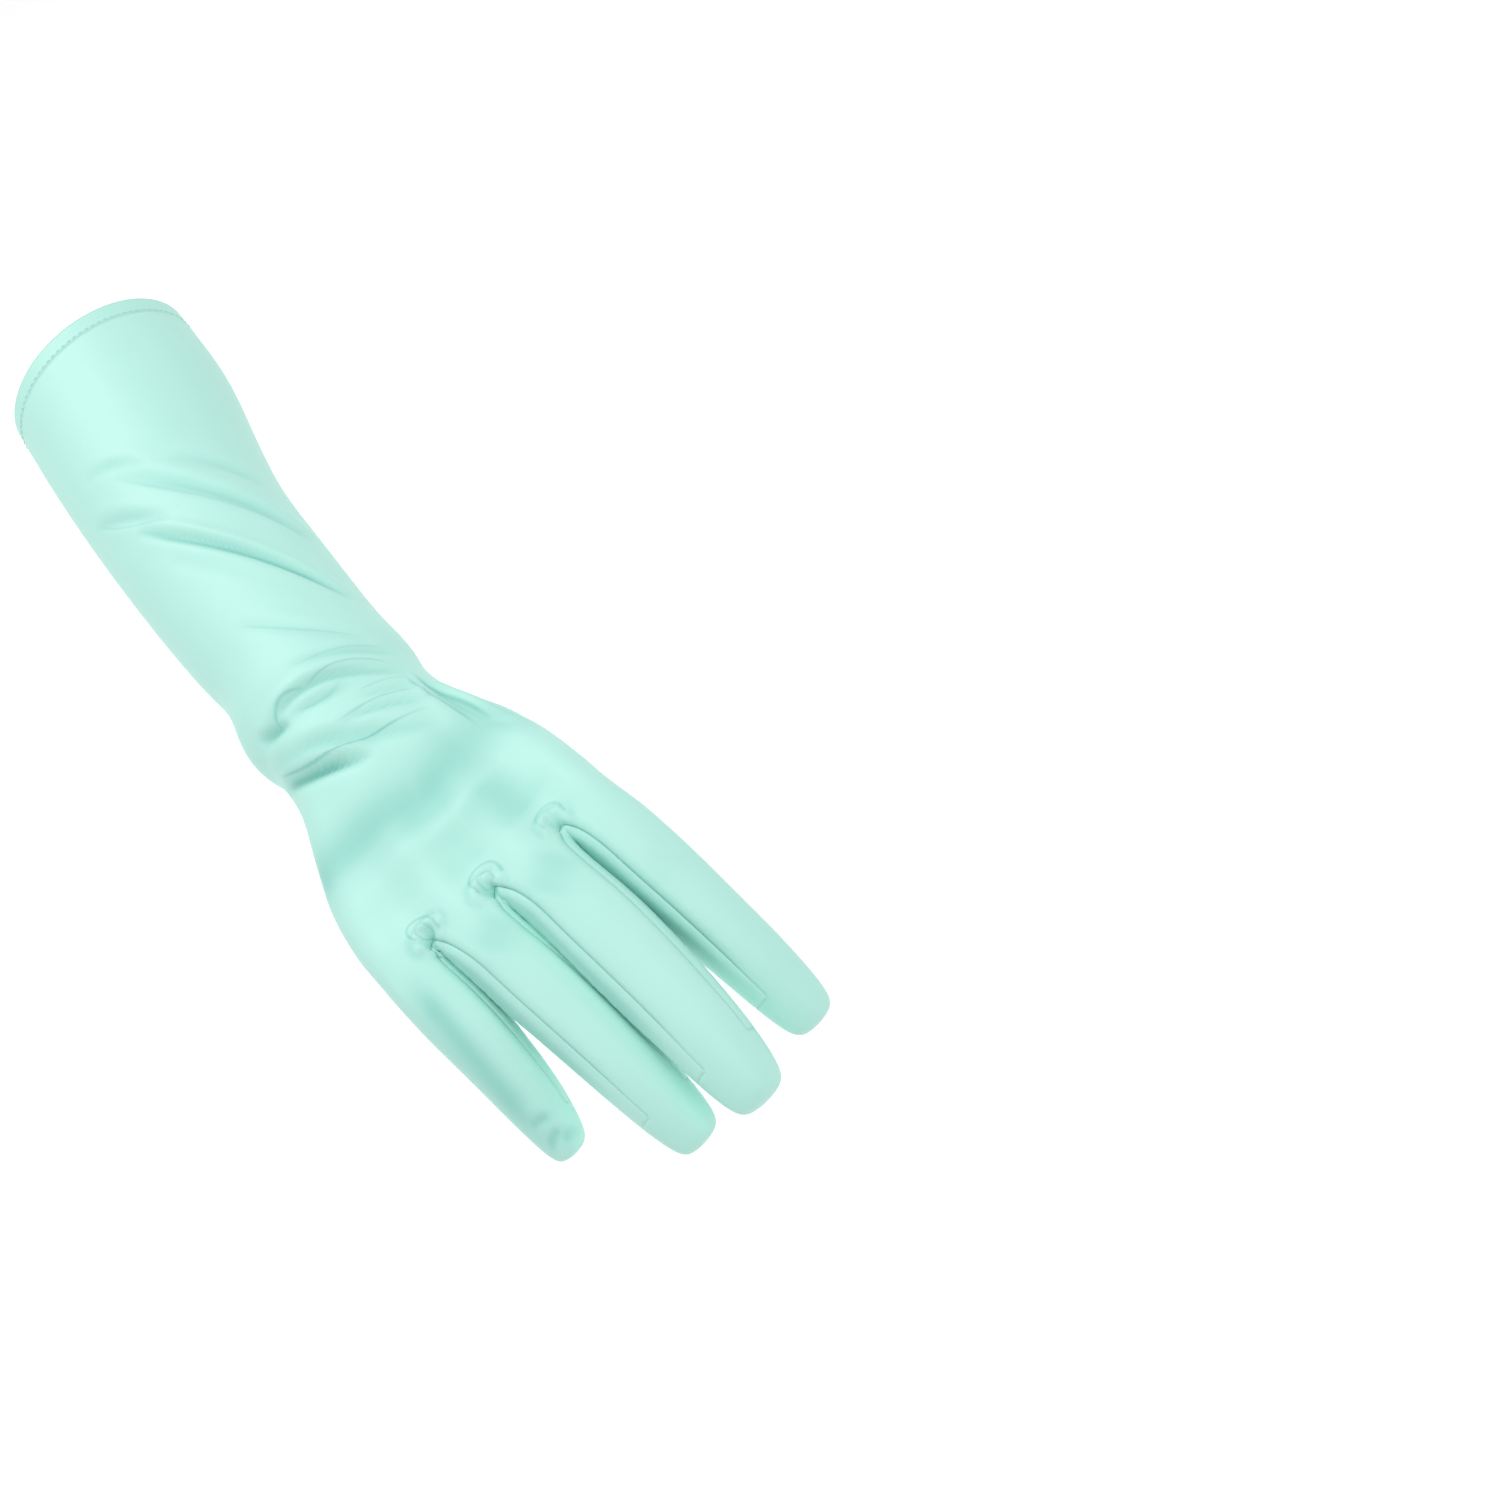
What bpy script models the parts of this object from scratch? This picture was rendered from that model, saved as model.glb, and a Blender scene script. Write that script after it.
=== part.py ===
"""Evening glove for the right arm, in satin, standing in the shape it has when worn.

The forearm lies along +Y with the hem at the origin, the hand points to -Y with its back up (+Z) and
its thumb on the +X side. Lengths are in metres.
"""

import math
from collections import namedtuple

import bmesh
import bpy
from mathutils import Matrix, Vector

# Driving sizes.
SLEEVE_LENGTH = 0.215
PALM_LENGTH = 0.092
SLEEVE_WIDTH = 0.070
HAND_WIDTH = 0.082
FINGER_LENGTH = 0.086
FINGER_WIDTH = 0.0200
THUMB_WIDTH = 0.0225
CLOTH = 0.0012
HEM_DEPTH = 0.0085
HEM_CLOTH = 0.0016
SEAM_GAP = 0.0005

# How the hand sits on the forearm, in degrees.
HAND_SWING = 9.3
HAND_RISE = 5.1

# The cage: points round a sleeve section, rows along each stretch.
ROUND = 20
HEM_ROWS = 1
SLEEVE_ROWS = 13
ROW_CROWDING = 1.3
PALM_ROWS = 7
THUMB_HOLE = (1, 4)
THUMB_SIDE = (16, 17, 18, 19)

SATIN = (0.46, 0.85, 0.76, 1.0)
HEM_SATIN = (0.43, 0.82, 0.73, 1.0)
ROUGHNESS = 0.34

Section = namedtuple("Section", "along width depth across lift slant skew")
Finger = namedtuple(
    "Finger", "name across ahead lift length width spread bend curl roll belly bow taper"
)
Fork = namedtuple("Fork", "name across reach")
Ring = namedtuple("Ring", "along width depth edge")
Joint = namedtuple("Joint", "across ahead up size")
Fold = namedtuple("Fold", "along around along_end around_end sag depth breadth puff")

# Sleeve: along is a share of its length, the sizes and offsets of its width. Slant and skew lean the
# section along the arm, for each length up and across.
SLEEVE_SECTIONS = (
    Section(0.00, 1.02, 0.84, -0.050, 0.000, -0.24, 0.14),
    Section(0.19, 1.02, 0.84, -0.050, 0.000, -0.10, 0.05),
    Section(0.37, 0.93, 0.79, -0.078, 0.000, 0.00, 0.00),
    Section(0.50, 0.87, 0.76, -0.086, 0.000, 0.00, 0.00),
    Section(0.65, 0.84, 0.73, -0.066, 0.000, 0.00, 0.00),
    Section(0.79, 0.80, 0.70, -0.039, 0.000, 0.00, 0.00),
    Section(0.86, 0.77, 0.68, -0.018, 0.000, 0.00, 0.00),
    Section(0.95, 0.84, 0.71, -0.026, 0.000, 0.00, 0.00),
    Section(1.00, 0.76, 0.64, 0.000, 0.000, 0.00, 0.00),
)
# Hand: along is a share of the palm's length, the others of the hand's width.
PALM_SECTIONS = (
    Section(0.00, 0.65, 0.46, 0.000, 0.000, 0.00, 0.00),
    Section(0.25, 0.67, 0.43, -0.015, 0.000, 0.00, 0.00),
    Section(0.55, 0.88, 0.38, -0.005, 0.000, 0.00, 0.00),
    Section(0.80, 0.98, 0.32, 0.000, 0.000, 0.00, 0.00),
    Section(1.00, 1.00, 0.26, 0.000, 0.000, 0.00, 0.00),
)
# Fingers: across as a share of the hand's width, ahead and lift of the palm's length, length and
# width of a finger's, spread, bend, curl and roll in degrees. Belly and bow are how much wider it is
# half-way and how far it lies to the thumb side there, and taper how much narrower its tip is, as
# shares of its own width.
FINGERS = (
    Finger("index", 0.302, 0.965, -0.01, 0.965, 1.00, 2.0, 26, 10, 12, 0.00, 0.00, 0.00),
    Finger("middle", 0.046, 0.990, 0.00, 1.02, 1.08, -1.0, 17, 10, 6, 0.11, 0.06, 0.00),
    Finger("ring", -0.222, 0.970, -0.01, 0.97, 0.94, 2.9, 24, 10, 7, 0.04, -0.01, 0.00),
    Finger("little", -0.452, 0.880, -0.04, 0.78, 0.84, -1.0, 24, 20, 4, 0.13, 0.06, 0.14),
)
# Rings of a finger: shares of its length and width, and how far up its side a seam runs.
FINGER_RINGS = (
    Ring(0.12, 0.98, 0.98, 0.80),
    Ring(0.30, 0.98, 0.96, 0.80),
    Ring(0.48, 0.96, 0.93, 0.78),
    Ring(0.66, 0.92, 0.88, 0.74),
    Ring(0.82, 0.87, 0.82, 0.62),
    Ring(0.94, 0.78, 0.72, 0.50),
    Ring(1.00, 0.56, 0.50, 0.55),
)
# Where two fingers part, on the back, between them and in the palm: across and reach as shares of
# the hand's width and the palm's length, level of the hand's width.
FORKS = (
    Fork("index_middle", 0.018, -0.030),
    Fork("middle_ring", -0.010, -0.036),
    Fork("ring_little", -0.008, -0.030),
)
FORK_STEPS = (0.000, 0.000, 0.035)
FORK_LEVELS = (0.050, -0.050, -0.120)
# Middle of the thumb at its joints: across and up as shares of the hand's width, ahead of the palm's
# length, and the size there as a share of the thumb's width.
THUMB_JOINTS = (
    Joint(0.354, 0.478, -0.256, 1.06),
    Joint(0.341, 0.652, -0.390, 1.02),
    Joint(0.293, 0.826, -0.500, 0.91),
    Joint(0.232, 0.967, -0.573, 0.59),
)
# Folds of the cloth, from one end to the other: along as a share of the sleeve's length, around in
# degrees from the thumb side over the back, sag along at the middle, depth and breadth as shares of
# the sleeve's width, and how much of the depth the cloth stands up beside the fold.
FOLDS = (
    Fold(0.52, 125, 0.86, 26, 0.000, 0.030, 0.060, 0.7),
    Fold(0.39, 115, 0.70, 18, 0.000, 0.020, 0.070, 0.6),
    Fold(0.35, 132, 0.44, 90, -0.010, 0.012, 0.055, 0.5),
    Fold(0.42, 148, 0.57, 96, -0.010, 0.014, 0.055, 0.5),
    Fold(0.44, 74, 0.55, 26, -0.010, 0.012, 0.070, 0.4),
    Fold(0.82, 110, 0.97, 40, 0.000, 0.010, 0.060, 0.4),
    Fold(0.95, 100, 1.00, 28, -0.005, 0.016, 0.045, 0.6),
    Fold(0.99, 138, 1.04, 32, -0.012, 0.026, 0.050, 0.6),
    Fold(1.07, 102, 1.11, 28, 0.000, 0.018, 0.045, 0.6),
    Fold(1.02, 168, 1.16, 30, 0.022, 0.038, 0.050, 0.7),
    Fold(0.99, 156, 1.01, 122, 0.000, 0.040, 0.060, 0.3),
    Fold(1.21, 18, 1.26, 168, -0.020, 0.022, 0.120, 0.2),
    Fold(0.46, -40, 0.78, -140, 0.000, 0.022, 0.065, 0.6),
    Fold(0.66, -30, 0.92, -120, 0.010, 0.016, 0.060, 0.5),
    Fold(1.01, -20, 1.00, -150, 0.012, 0.030, 0.050, 0.6),
    Fold(1.08, -40, 1.05, -140, 0.000, 0.018, 0.045, 0.5),
)
FOLD_STEPS = 16


def blend(low, high, at):
    """Share from 0 to 1, rising smoothly between low and high."""
    share = min(max((at - low) / (high - low), 0.0), 1.0)
    return share * share * (3.0 - 2.0 * share)


def read_table(table, at):
    """Row of a table at the place `at`, on a smooth curve through its rows."""
    last = len(table) - 1
    step = next((i for i in range(last) if at <= table[i + 1].along), last - 1)
    rows = [table[min(max(step + i, 0), last)] for i in (-1, 0, 1, 2)]
    span = rows[2].along - rows[1].along
    share = min(max((at - rows[1].along) / span, 0.0), 1.0)
    values = []
    for before, start, end, after in zip(*rows):
        lead = (end - before) * span / max(rows[2].along - rows[0].along, 1e-9)
        trail = (after - start) * span / max(rows[3].along - rows[1].along, 1e-9)
        values.append(
            start
            + share * lead
            + share**2 * (3 * (end - start) - 2 * lead - trail)
            + share**3 * (2 * (start - end) + lead + trail)
        )
    return type(table[0])(*values)


def hand_turn(share):
    """Turn of the hand's frame, of which the wrist has made this share."""
    swing = Matrix.Rotation(math.radians(HAND_SWING * share), 3, "Z")
    return swing @ Matrix.Rotation(math.radians(-HAND_RISE * share), 3, "X")


WRIST = Vector((0.0, -SLEEVE_LENGTH, 0.0))
HAND = hand_turn(1.0)


def in_hand(across, ahead, up):
    """Point of the hand, measured from the wrist."""
    return WRIST + HAND @ Vector((across, -ahead, up))


def oval(section, size, index):
    """Point number `index` round a section, as (across, up)."""
    angle = 2.0 * math.pi * index / ROUND
    across = section.across + 0.5 * section.width * math.cos(angle)
    up = section.lift + 0.5 * section.depth * math.sin(angle)
    return across * size, up * size


def sleeve_row(distance):
    """Points of the sleeve's cage at this distance from the hem."""
    section = read_table(SLEEVE_SECTIONS, distance / SLEEVE_LENGTH)
    turn = hand_turn(0.5 * blend(0.9, 1.0, distance / SLEEVE_LENGTH))
    centre = Vector((0.0, -distance, 0.0))
    row = []
    for index in range(ROUND):
        across, up = oval(section, SLEEVE_WIDTH, index)
        back = section.slant * up + section.skew * across
        row.append(centre + turn @ Vector((across, back, up)))
    return row


def finger_base(finger):
    """Centre of a finger where it leaves the palm, as (across, ahead, up)."""
    return (
        finger.across * HAND_WIDTH,
        finger.ahead * PALM_LENGTH,
        finger.lift * PALM_LENGTH,
    )


def web_row():
    """Last row of the palm, shared by the fingers, and the points between them, in the hand's frame."""
    row = [None] * ROUND
    webs = []
    half = 0.5 * FINGER_WIDTH
    for number, finger in enumerate(FINGERS):
        across, ahead, up = finger_base(finger)
        top = 2 + 2 * number
        rise = half * finger.width * 1.02
        lean = rise * math.sin(math.radians(finger.roll))
        row[top] = (across + lean, ahead, up + rise)
        row[ROUND - top] = (across - lean, ahead, up - rise)
    for number, fork in enumerate(FORKS):
        one, two = finger_base(FINGERS[number]), finger_base(FINGERS[number + 1])
        across = (one[0] + two[0]) / 2 + fork.across * HAND_WIDTH
        ahead = 0.75 * max(one[1], two[1]) + 0.25 * min(one[1], two[1]) + fork.reach * PALM_LENGTH
        up = (one[2] + two[2]) / 2
        points = [
            (across, ahead + step * PALM_LENGTH, up + level * HAND_WIDTH)
            for step, level in zip(FORK_STEPS, FORK_LEVELS)
        ]
        row[3 + 2 * number] = points[0]
        webs.append(points[1])
        row[17 - 2 * number] = points[2]
    for number, side, edges in ((0, 1, (1, 0, 19)), (3, -1, (9, 10, 11))):
        finger = FINGERS[number]
        across, ahead, up = finger_base(finger)
        for edge, (out, rise) in zip(edges, ((0.80, 0.74), (1.06, 0.0), (0.80, -0.74))):
            width = half * finger.width
            row[edge] = (across + side * out * width, ahead, up + rise * width)
    return row, webs


def palm_row(share, web):
    """Points of the palm's cage at this share of the way from wrist to fingers."""
    section = read_table(PALM_SECTIONS, share)
    turned = hand_turn(0.5 + 0.5 * blend(0.0, 0.12, share))
    merge = blend(0.0, 1.0, share) ** 1.2
    row = []
    for index in range(ROUND):
        across, up = oval(section, HAND_WIDTH, index)
        spread = 1.0 - 0.5 * merge
        goal = web[index]
        across = across * (1 - merge) + goal[0] * merge * (section.width + (1 - section.width) * spread)
        up = up * (1 - merge) + goal[2] * merge
        ahead = share * PALM_LENGTH + merge * (goal[1] - PALM_LENGTH)
        row.append(WRIST + turned @ Vector((across, -ahead, up)))
    return row


def finger_rings(finger):
    """Rings of eight points along a finger, first at its radial upper edge, going over the back."""
    across, ahead, up = finger_base(finger)
    length = finger.length * FINGER_LENGTH
    width = finger.width * FINGER_WIDTH
    centre = Vector((across, ahead, up))
    steps = 40
    spine = [centre.copy()]
    for step in range(steps):
        share = (step + 0.5) / steps
        down = finger.bend * (0.6 + 0.4 * blend(0.0, 0.2, share))
        down += finger.curl * (blend(0.25, 0.5, share) + 0.6 * blend(0.6, 0.8, share)) * 0.75
        turn = direction(finger.spread, down)
        centre = centre + turn * (length / steps)
        spine.append(centre.copy())
    rings = []
    for ring in FINGER_RINGS:
        at = ring.along * steps
        low = min(int(at), steps - 1)
        swell = math.sin(math.pi * ring.along)
        middle = spine[low].lerp(spine[low + 1], at - low)
        middle.x += (finger.bow * swell - 0.5 * finger.taper * ring.along**3) * width
        ahead_way = (spine[min(low + 3, steps)] - spine[max(low - 2, 0)]).normalized()
        side = Vector((0, 0, 1)).cross(ahead_way).normalized() * -1.0
        over = side.cross(ahead_way).normalized()
        if over.z < 0:
            over = -over
        roll = math.radians(finger.roll)
        side, over = (
            side * math.cos(roll) - over * math.sin(roll),
            over * math.cos(roll) + side * math.sin(roll),
        )
        wider = 1.0 + finger.belly * swell - finger.taper * ring.along**3
        half, rise = 0.54 * width * ring.width * wider, 0.54 * width * ring.depth
        outline = (
            (0.80, ring.edge),
            (0.0, 1.0),
            (-0.80, ring.edge),
            (-1.0, 0.0),
            (-0.80, -ring.edge),
            (0.0, -1.0),
            (0.80, -ring.edge),
            (1.0, 0.0),
        )
        rings.append([middle + side * (a * half) + over * (b * rise) for a, b in outline])
    return [[in_hand(*point) for point in ring] for ring in rings]


def direction(spread, down):
    """Unit vector in the hand's frame (across, ahead, up)."""
    spread, down = math.radians(spread), math.radians(down)
    return Vector((math.sin(spread) * math.cos(down), math.cos(spread) * math.cos(down), -math.sin(down)))


TRANK, HEM, THUMB, FOURCHETTES = 0, 1, 2, (3, 4, 5)
PIECES = (
    "trank",
    "hem",
    "thumb",
    "fourchette_index_middle",
    "fourchette_middle_ring",
    "fourchette_ring_little",
)


def strip(bm, first, second, piece, closed=True):
    """Quads between two rows of points. `piece` is one number, or one for each quad."""
    count = len(first) if closed else len(first) - 1
    for index in range(count):
        after = (index + 1) % len(first)
        face = bm.faces.new((first[index], first[after], second[after], second[index]))
        face.material_index = piece if isinstance(piece, int) else piece[index]


def build_cage(bm):
    """The whole glove as one open surface of quads, with each face given to its piece."""
    rows = []
    for step in range(HEM_ROWS + 1):
        rows.append(sleeve_row(HEM_DEPTH * step / HEM_ROWS))
    for step in range(1, SLEEVE_ROWS + 1):
        share = 1.0 - (1.0 - step / SLEEVE_ROWS) ** ROW_CROWDING
        rows.append(sleeve_row(HEM_DEPTH + (SLEEVE_LENGTH - HEM_DEPTH) * share))
    wrist = len(rows) - 1
    web, webs = web_row()
    for step in range(1, PALM_ROWS):
        rows.append(palm_row(step / PALM_ROWS, web))
    rows.append([in_hand(*point) for point in web])
    points = [[bm.verts.new(point) for point in row] for row in rows]
    hole = range(wrist + THUMB_HOLE[0], wrist + THUMB_HOLE[1])
    inside = THUMB_SIDE[:-1]
    for number, (first, second) in enumerate(zip(points, points[1:])):
        for index in range(ROUND):
            if number in hole and index in inside:
                continue
            after = (index + 1) % ROUND
            face = bm.faces.new((first[index], first[after], second[after], second[index]))
            face.material_index = HEM if number < HEM_ROWS else TRANK
    build_fingers(bm, points[-1], [bm.verts.new(in_hand(*point)) for point in webs])
    build_thumb(bm, points, wrist)
    loose = [vert for vert in bm.verts if not vert.link_faces]
    bmesh.ops.delete(bm, geom=loose, context="VERTS")
    bmesh.ops.recalc_face_normals(bm, faces=bm.faces)


def build_fingers(bm, palm, webs):
    """The four fingers, each from eight points of the palm's last row and of the webs."""
    for number, finger in enumerate(FINGERS):
        top = 2 + 2 * number
        low = ROUND - top
        thumb_side = webs[number - 1] if number > 0 else palm[0]
        far_side = webs[number] if number < 3 else palm[10]
        ring = [
            palm[top - 1],
            palm[top],
            palm[top + 1],
            far_side,
            palm[low - 1],
            palm[low],
            palm[(low + 1) % ROUND],
            thumb_side,
        ]
        near_fork = FOURCHETTES[number - 1] if number > 0 else TRANK
        far_fork = FOURCHETTES[number] if number < 3 else TRANK
        pieces = (TRANK, TRANK, far_fork, far_fork, TRANK, TRANK, near_fork, near_fork)
        rings = finger_rings(finger)
        for step, outline in enumerate(rings):
            following = [bm.verts.new(point) for point in outline]
            strip(bm, ring, following, pieces if step < len(rings) - 2 else TRANK)
            ring = following
        bm.faces.new(ring).material_index = TRANK


def build_thumb(bm, points, wrist):
    """The thumb, from the border of the hole in the palm's side."""
    first, last = wrist + THUMB_HOLE[0], wrist + THUMB_HOLE[1]
    border = [points[first][i] for i in THUMB_SIDE]
    border += [points[row][THUMB_SIDE[-1]] for row in range(first + 1, last)]
    border += [points[last][i] for i in reversed(THUMB_SIDE)]
    border += [points[row][THUMB_SIDE[0]] for row in range(last - 1, first, -1)]
    centre = sum((vert.co for vert in border), Vector()) / len(border)
    spine = [centre]
    for joint in THUMB_JOINTS:
        spine.append(
            in_hand(joint.across * HAND_WIDTH, joint.ahead * PALM_LENGTH, joint.up * HAND_WIDTH)
        )
    ring = border
    count = len(border)
    for step, joint in enumerate(THUMB_JOINTS):
        middle = spine[step + 1]
        way = (spine[min(step + 2, len(THUMB_JOINTS))] - spine[step]).normalized()
        arms = [(vert.co - centre) for vert in border]
        flat = [(arm - way * arm.dot(way)) for arm in arms]
        half = 0.5 * THUMB_WIDTH * joint.size
        following = []
        start = flat[0].normalized()
        across = way.cross(start)
        base = [math.atan2(arm.dot(across), arm.dot(start)) for arm in flat]
        sign = 1.0 if (base[1] - base[0]) % (2 * math.pi) < math.pi else -1.0
        for index in range(count):
            even = sign * 2.0 * math.pi * index / count
            following.append(
                bm.verts.new(middle + (start * math.cos(even) + across * math.sin(even)) * half)
            )
        strip(bm, ring, following, THUMB)
        ring = following
    bm.faces.new(ring).material_index = THUMB


def unroll(point):
    """Where a point of the sleeve or the palm lies, as (along, around, radius) about its middle."""
    along = -point.y / SLEEVE_LENGTH
    past = max(-point.y - SLEEVE_LENGTH, 0.0)
    across = read_table(SLEEVE_SECTIONS, min(max(along, 0.0), 1.0)).across * SLEEVE_WIDTH
    side = point.x - across - past * math.tan(math.radians(HAND_SWING))
    up = point.z - past * math.tan(math.radians(HAND_RISE))
    return along, math.degrees(math.atan2(up, side)), math.hypot(side, up)


def fold_depth(fold, along, around, radius):
    """How far a fold moves the cloth outwards at a place: below zero in it, above zero beside it."""
    best, nearest, share_there = 1e9, 0.0, 0.0
    for step in range(FOLD_STEPS + 1):
        share = step / FOLD_STEPS
        at = fold.along + (fold.along_end - fold.along) * share + 4 * fold.sag * share * (1 - share)
        turned = fold.around + (fold.around_end - fold.around) * share
        ahead = (along - at) * SLEEVE_LENGTH
        aside = math.radians((around - turned + 180) % 360 - 180) * radius
        gap = math.hypot(ahead, aside)
        if gap < best:
            best, nearest, share_there = gap, ahead, share
    offset = best / (fold.breadth * SLEEVE_WIDTH)
    if offset > 5.0:
        return 0.0
    fade = min(1.0, 4.0 * share_there * (1.0 - share_there) + 0.15)
    groove = -math.exp(-(offset**2))
    ridge = math.exp(-(((offset - 1.7) / 1.1) ** 2)) if nearest < 0 else 0.0
    return fold.depth * SLEEVE_WIDTH * fade * (groove + fold.puff * ridge)


def press_folds(mesh):
    """Move the cloth of sleeve and palm along its normals into the folds. Returns each point's move."""
    last = max(fold.along_end for fold in FOLDS) + 0.1
    moves = {}
    for vert in mesh.vertices:
        along, around, radius = unroll(vert.co)
        if along < last:
            moves[vert.index] = sum(fold_depth(fold, along, around, radius) for fold in FOLDS)
    normals = [vert.normal.copy() for vert in mesh.vertices]
    for index, move in moves.items():
        mesh.vertices[index].co += normals[index] * move
    return moves


def crease_split(corners, moves):
    """A face as triangles, cut between the corners that a fold moves most alike."""
    if len(corners) != 4:
        return [corners]
    one, two, three, four = corners
    level = [moves.get(corner, 0.0) for corner in corners]
    if abs(level[0] - level[2]) <= abs(level[1] - level[3]):
        return [(one, two, three), (one, three, four)]
    return [(two, three, four), (two, four, one)]


def evaluated_copy(obj, name):
    """New mesh object holding the evaluated shape of another."""
    graph = bpy.context.evaluated_depsgraph_get()
    mesh = bpy.data.meshes.new_from_object(obj.evaluated_get(graph), depsgraph=graph)
    copy = bpy.data.objects.new(name, mesh)
    return copy


def clear_scene():
    """Remove every object of the scene."""
    for obj in list(bpy.data.objects):
        bpy.data.objects.remove(obj, do_unlink=True)


def satin(name, colour):
    """Cloth material of one piece."""
    material = bpy.data.materials.new(name)
    material.use_nodes = True
    shader = material.node_tree.nodes["Principled BSDF"]
    shader.inputs["Base Color"].default_value = colour
    shader.inputs["Roughness"].default_value = ROUGHNESS
    shader.inputs["Metallic"].default_value = 0.0
    material.diffuse_color = colour
    return material


def cut_piece(shell, moves, piece, name, collection):
    """One piece of the cloth: its outer and inner faces, drawn back from its seams and closed."""
    source = shell.data
    half = len(source.vertices) // 2
    outer = [p for p in source.polygons if p.material_index == piece and max(p.vertices) < half]
    edges = {}
    for face in outer:
        for start, end in zip(face.vertices, list(face.vertices[1:]) + [face.vertices[0]]):
            edges[(start, end)] = face
    rim = [pair for pair in edges if pair[::-1] not in edges]
    border = {index for pair in rim for index in pair}
    pull = {index: Vector() for index in border}
    for face in outer:
        for index in face.vertices:
            if index in border:
                pull[index] += face.center - source.vertices[index].co
    along = {index: Vector() for index in border}
    for start, end in rim:
        way = (source.vertices[end].co - source.vertices[start].co).normalized()
        along[start] += way
        along[end] += way
    used = sorted({index for face in outer for index in face.vertices})
    place = {index: number for number, index in enumerate(used)}
    inner_wall = HEM_CLOTH / CLOTH if piece == HEM else 1.0
    points, inner = [], []
    for index in used:
        out, back = source.vertices[index].co.copy(), source.vertices[index + half].co.copy()
        back = out + (back - out) * inner_wall
        if index in border:
            tangent = along[index].normalized()
            move = pull[index] - tangent * pull[index].dot(tangent)
            thick = (back - out).normalized()
            move = (move - thick * move.dot(thick)).normalized() * (0.5 * SEAM_GAP)
            out, back = out + move, back + move
        points.append(out)
        inner.append(back)
    count = len(points)
    cloth = [part for face in outer for part in crease_split(tuple(face.vertices), moves)]
    faces = [[place[i] for i in part] for part in cloth]
    faces += [[count + place[i] for i in reversed(part)] for part in cloth]
    faces += [
        [place[end], place[start], count + place[start], count + place[end]] for start, end in rim
    ]
    mesh = bpy.data.meshes.new(name)
    mesh.from_pydata(points + inner, [], faces)
    mesh.update()
    obj = bpy.data.objects.new(name, mesh)
    obj.data.materials.append(satin(name, HEM_SATIN if piece == HEM else SATIN))
    collection.objects.link(obj)
    return obj


def main():
    """Build the glove's surface once, give it its thickness and cut it into its pieces."""
    clear_scene()
    scene = bpy.context.scene
    glove = bpy.data.collections.new("evening_glove")
    forms = bpy.data.collections.new("forms")
    forms.hide_render = True
    scene.collection.children.link(glove)
    scene.collection.children.link(forms)

    bm = bmesh.new()
    build_cage(bm)
    mesh = bpy.data.meshes.new("glove_cage")
    bm.to_mesh(mesh)
    bm.free()
    for _ in PIECES:
        mesh.materials.append(None)
    cage = bpy.data.objects.new("glove_cage", mesh)
    forms.objects.link(cage)
    soft = cage.modifiers.new("rounding", "SUBSURF")
    soft.levels = soft.render_levels = 1

    bpy.context.view_layer.update()
    shell = evaluated_copy(cage, "glove_shell")
    moves = press_folds(shell.data)
    forms.objects.link(shell)
    wall = shell.modifiers.new("cloth", "SOLIDIFY")
    wall.thickness = CLOTH
    wall.offset = -1.0
    wall.use_even_offset = False
    wall.use_rim = False
    wall.material_offset = 0
    bpy.context.view_layer.update()
    thick = evaluated_copy(shell, "glove_wall")
    forms.objects.link(thick)
    for number, name in enumerate(PIECES):
        cut_piece(thick, moves, number, name, glove)
    for helper in (cage, shell, thick):
        helper.hide_render = True
        helper.display_type = "WIRE"


main()
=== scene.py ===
"""Evening glove of stretch satin for the right arm, in the shape it has when worn.

The forearm lies along +Y with the hem at the origin, the fingers point to -Y, the back of the hand
is up (+Z) and the thumb side is +X. Every length is in metres.
"""

from __future__ import annotations

import logging
import math
from dataclasses import astuple, dataclass, field
from enum import Enum, IntEnum

import bmesh
import bpy
import numpy as np
from mathutils import Matrix, Vector
from mathutils.bvhtree import BVHTree
from mathutils.kdtree import KDTree

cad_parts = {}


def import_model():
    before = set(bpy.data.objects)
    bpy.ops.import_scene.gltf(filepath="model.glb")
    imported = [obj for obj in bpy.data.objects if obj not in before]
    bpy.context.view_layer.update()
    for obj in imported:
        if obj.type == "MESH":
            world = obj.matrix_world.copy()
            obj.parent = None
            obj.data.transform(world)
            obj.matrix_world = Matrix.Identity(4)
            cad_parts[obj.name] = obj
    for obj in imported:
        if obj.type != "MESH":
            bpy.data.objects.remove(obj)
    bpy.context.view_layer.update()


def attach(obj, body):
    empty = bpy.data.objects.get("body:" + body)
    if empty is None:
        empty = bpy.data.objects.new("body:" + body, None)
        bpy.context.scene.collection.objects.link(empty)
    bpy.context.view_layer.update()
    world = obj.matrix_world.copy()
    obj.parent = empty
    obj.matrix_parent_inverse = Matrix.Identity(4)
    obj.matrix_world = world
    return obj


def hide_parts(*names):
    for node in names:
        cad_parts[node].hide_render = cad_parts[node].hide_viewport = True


Node = bpy.types.Node
Socket = bpy.types.NodeSocket
Mesh = bmesh.types.BMesh
Array = np.ndarray

log = logging.getLogger("evening_glove")


class Cut(IntEnum):
    """The pieces that the glove is sewn from, in the order of their numbers on the surface."""

    TRANK = 0
    HEM = 1
    THUMB = 2
    INDEX_MIDDLE = 3
    MIDDLE_RING = 4
    RING_LITTLE = 5


FORK_CUTS = (Cut.INDEX_MIDDLE, Cut.MIDDLE_RING, Cut.RING_LITTLE)


class Tone(Enum):
    """Tones of the satin, as linear colours: its dyed tones, and the colour of its painted shade."""

    MINT = (0.480, 0.840, 0.748, 1.0)
    # Painted shade: the colour that folds, creases, seams and gaps are darkened towards.
    MINT_PAINTED_SHADE = (0.215, 0.590, 0.525, 1.0)
    MINT_HEM = (0.465, 0.825, 0.733, 1.0)
    THREAD = (0.430, 0.790, 0.690, 1.0)


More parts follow.
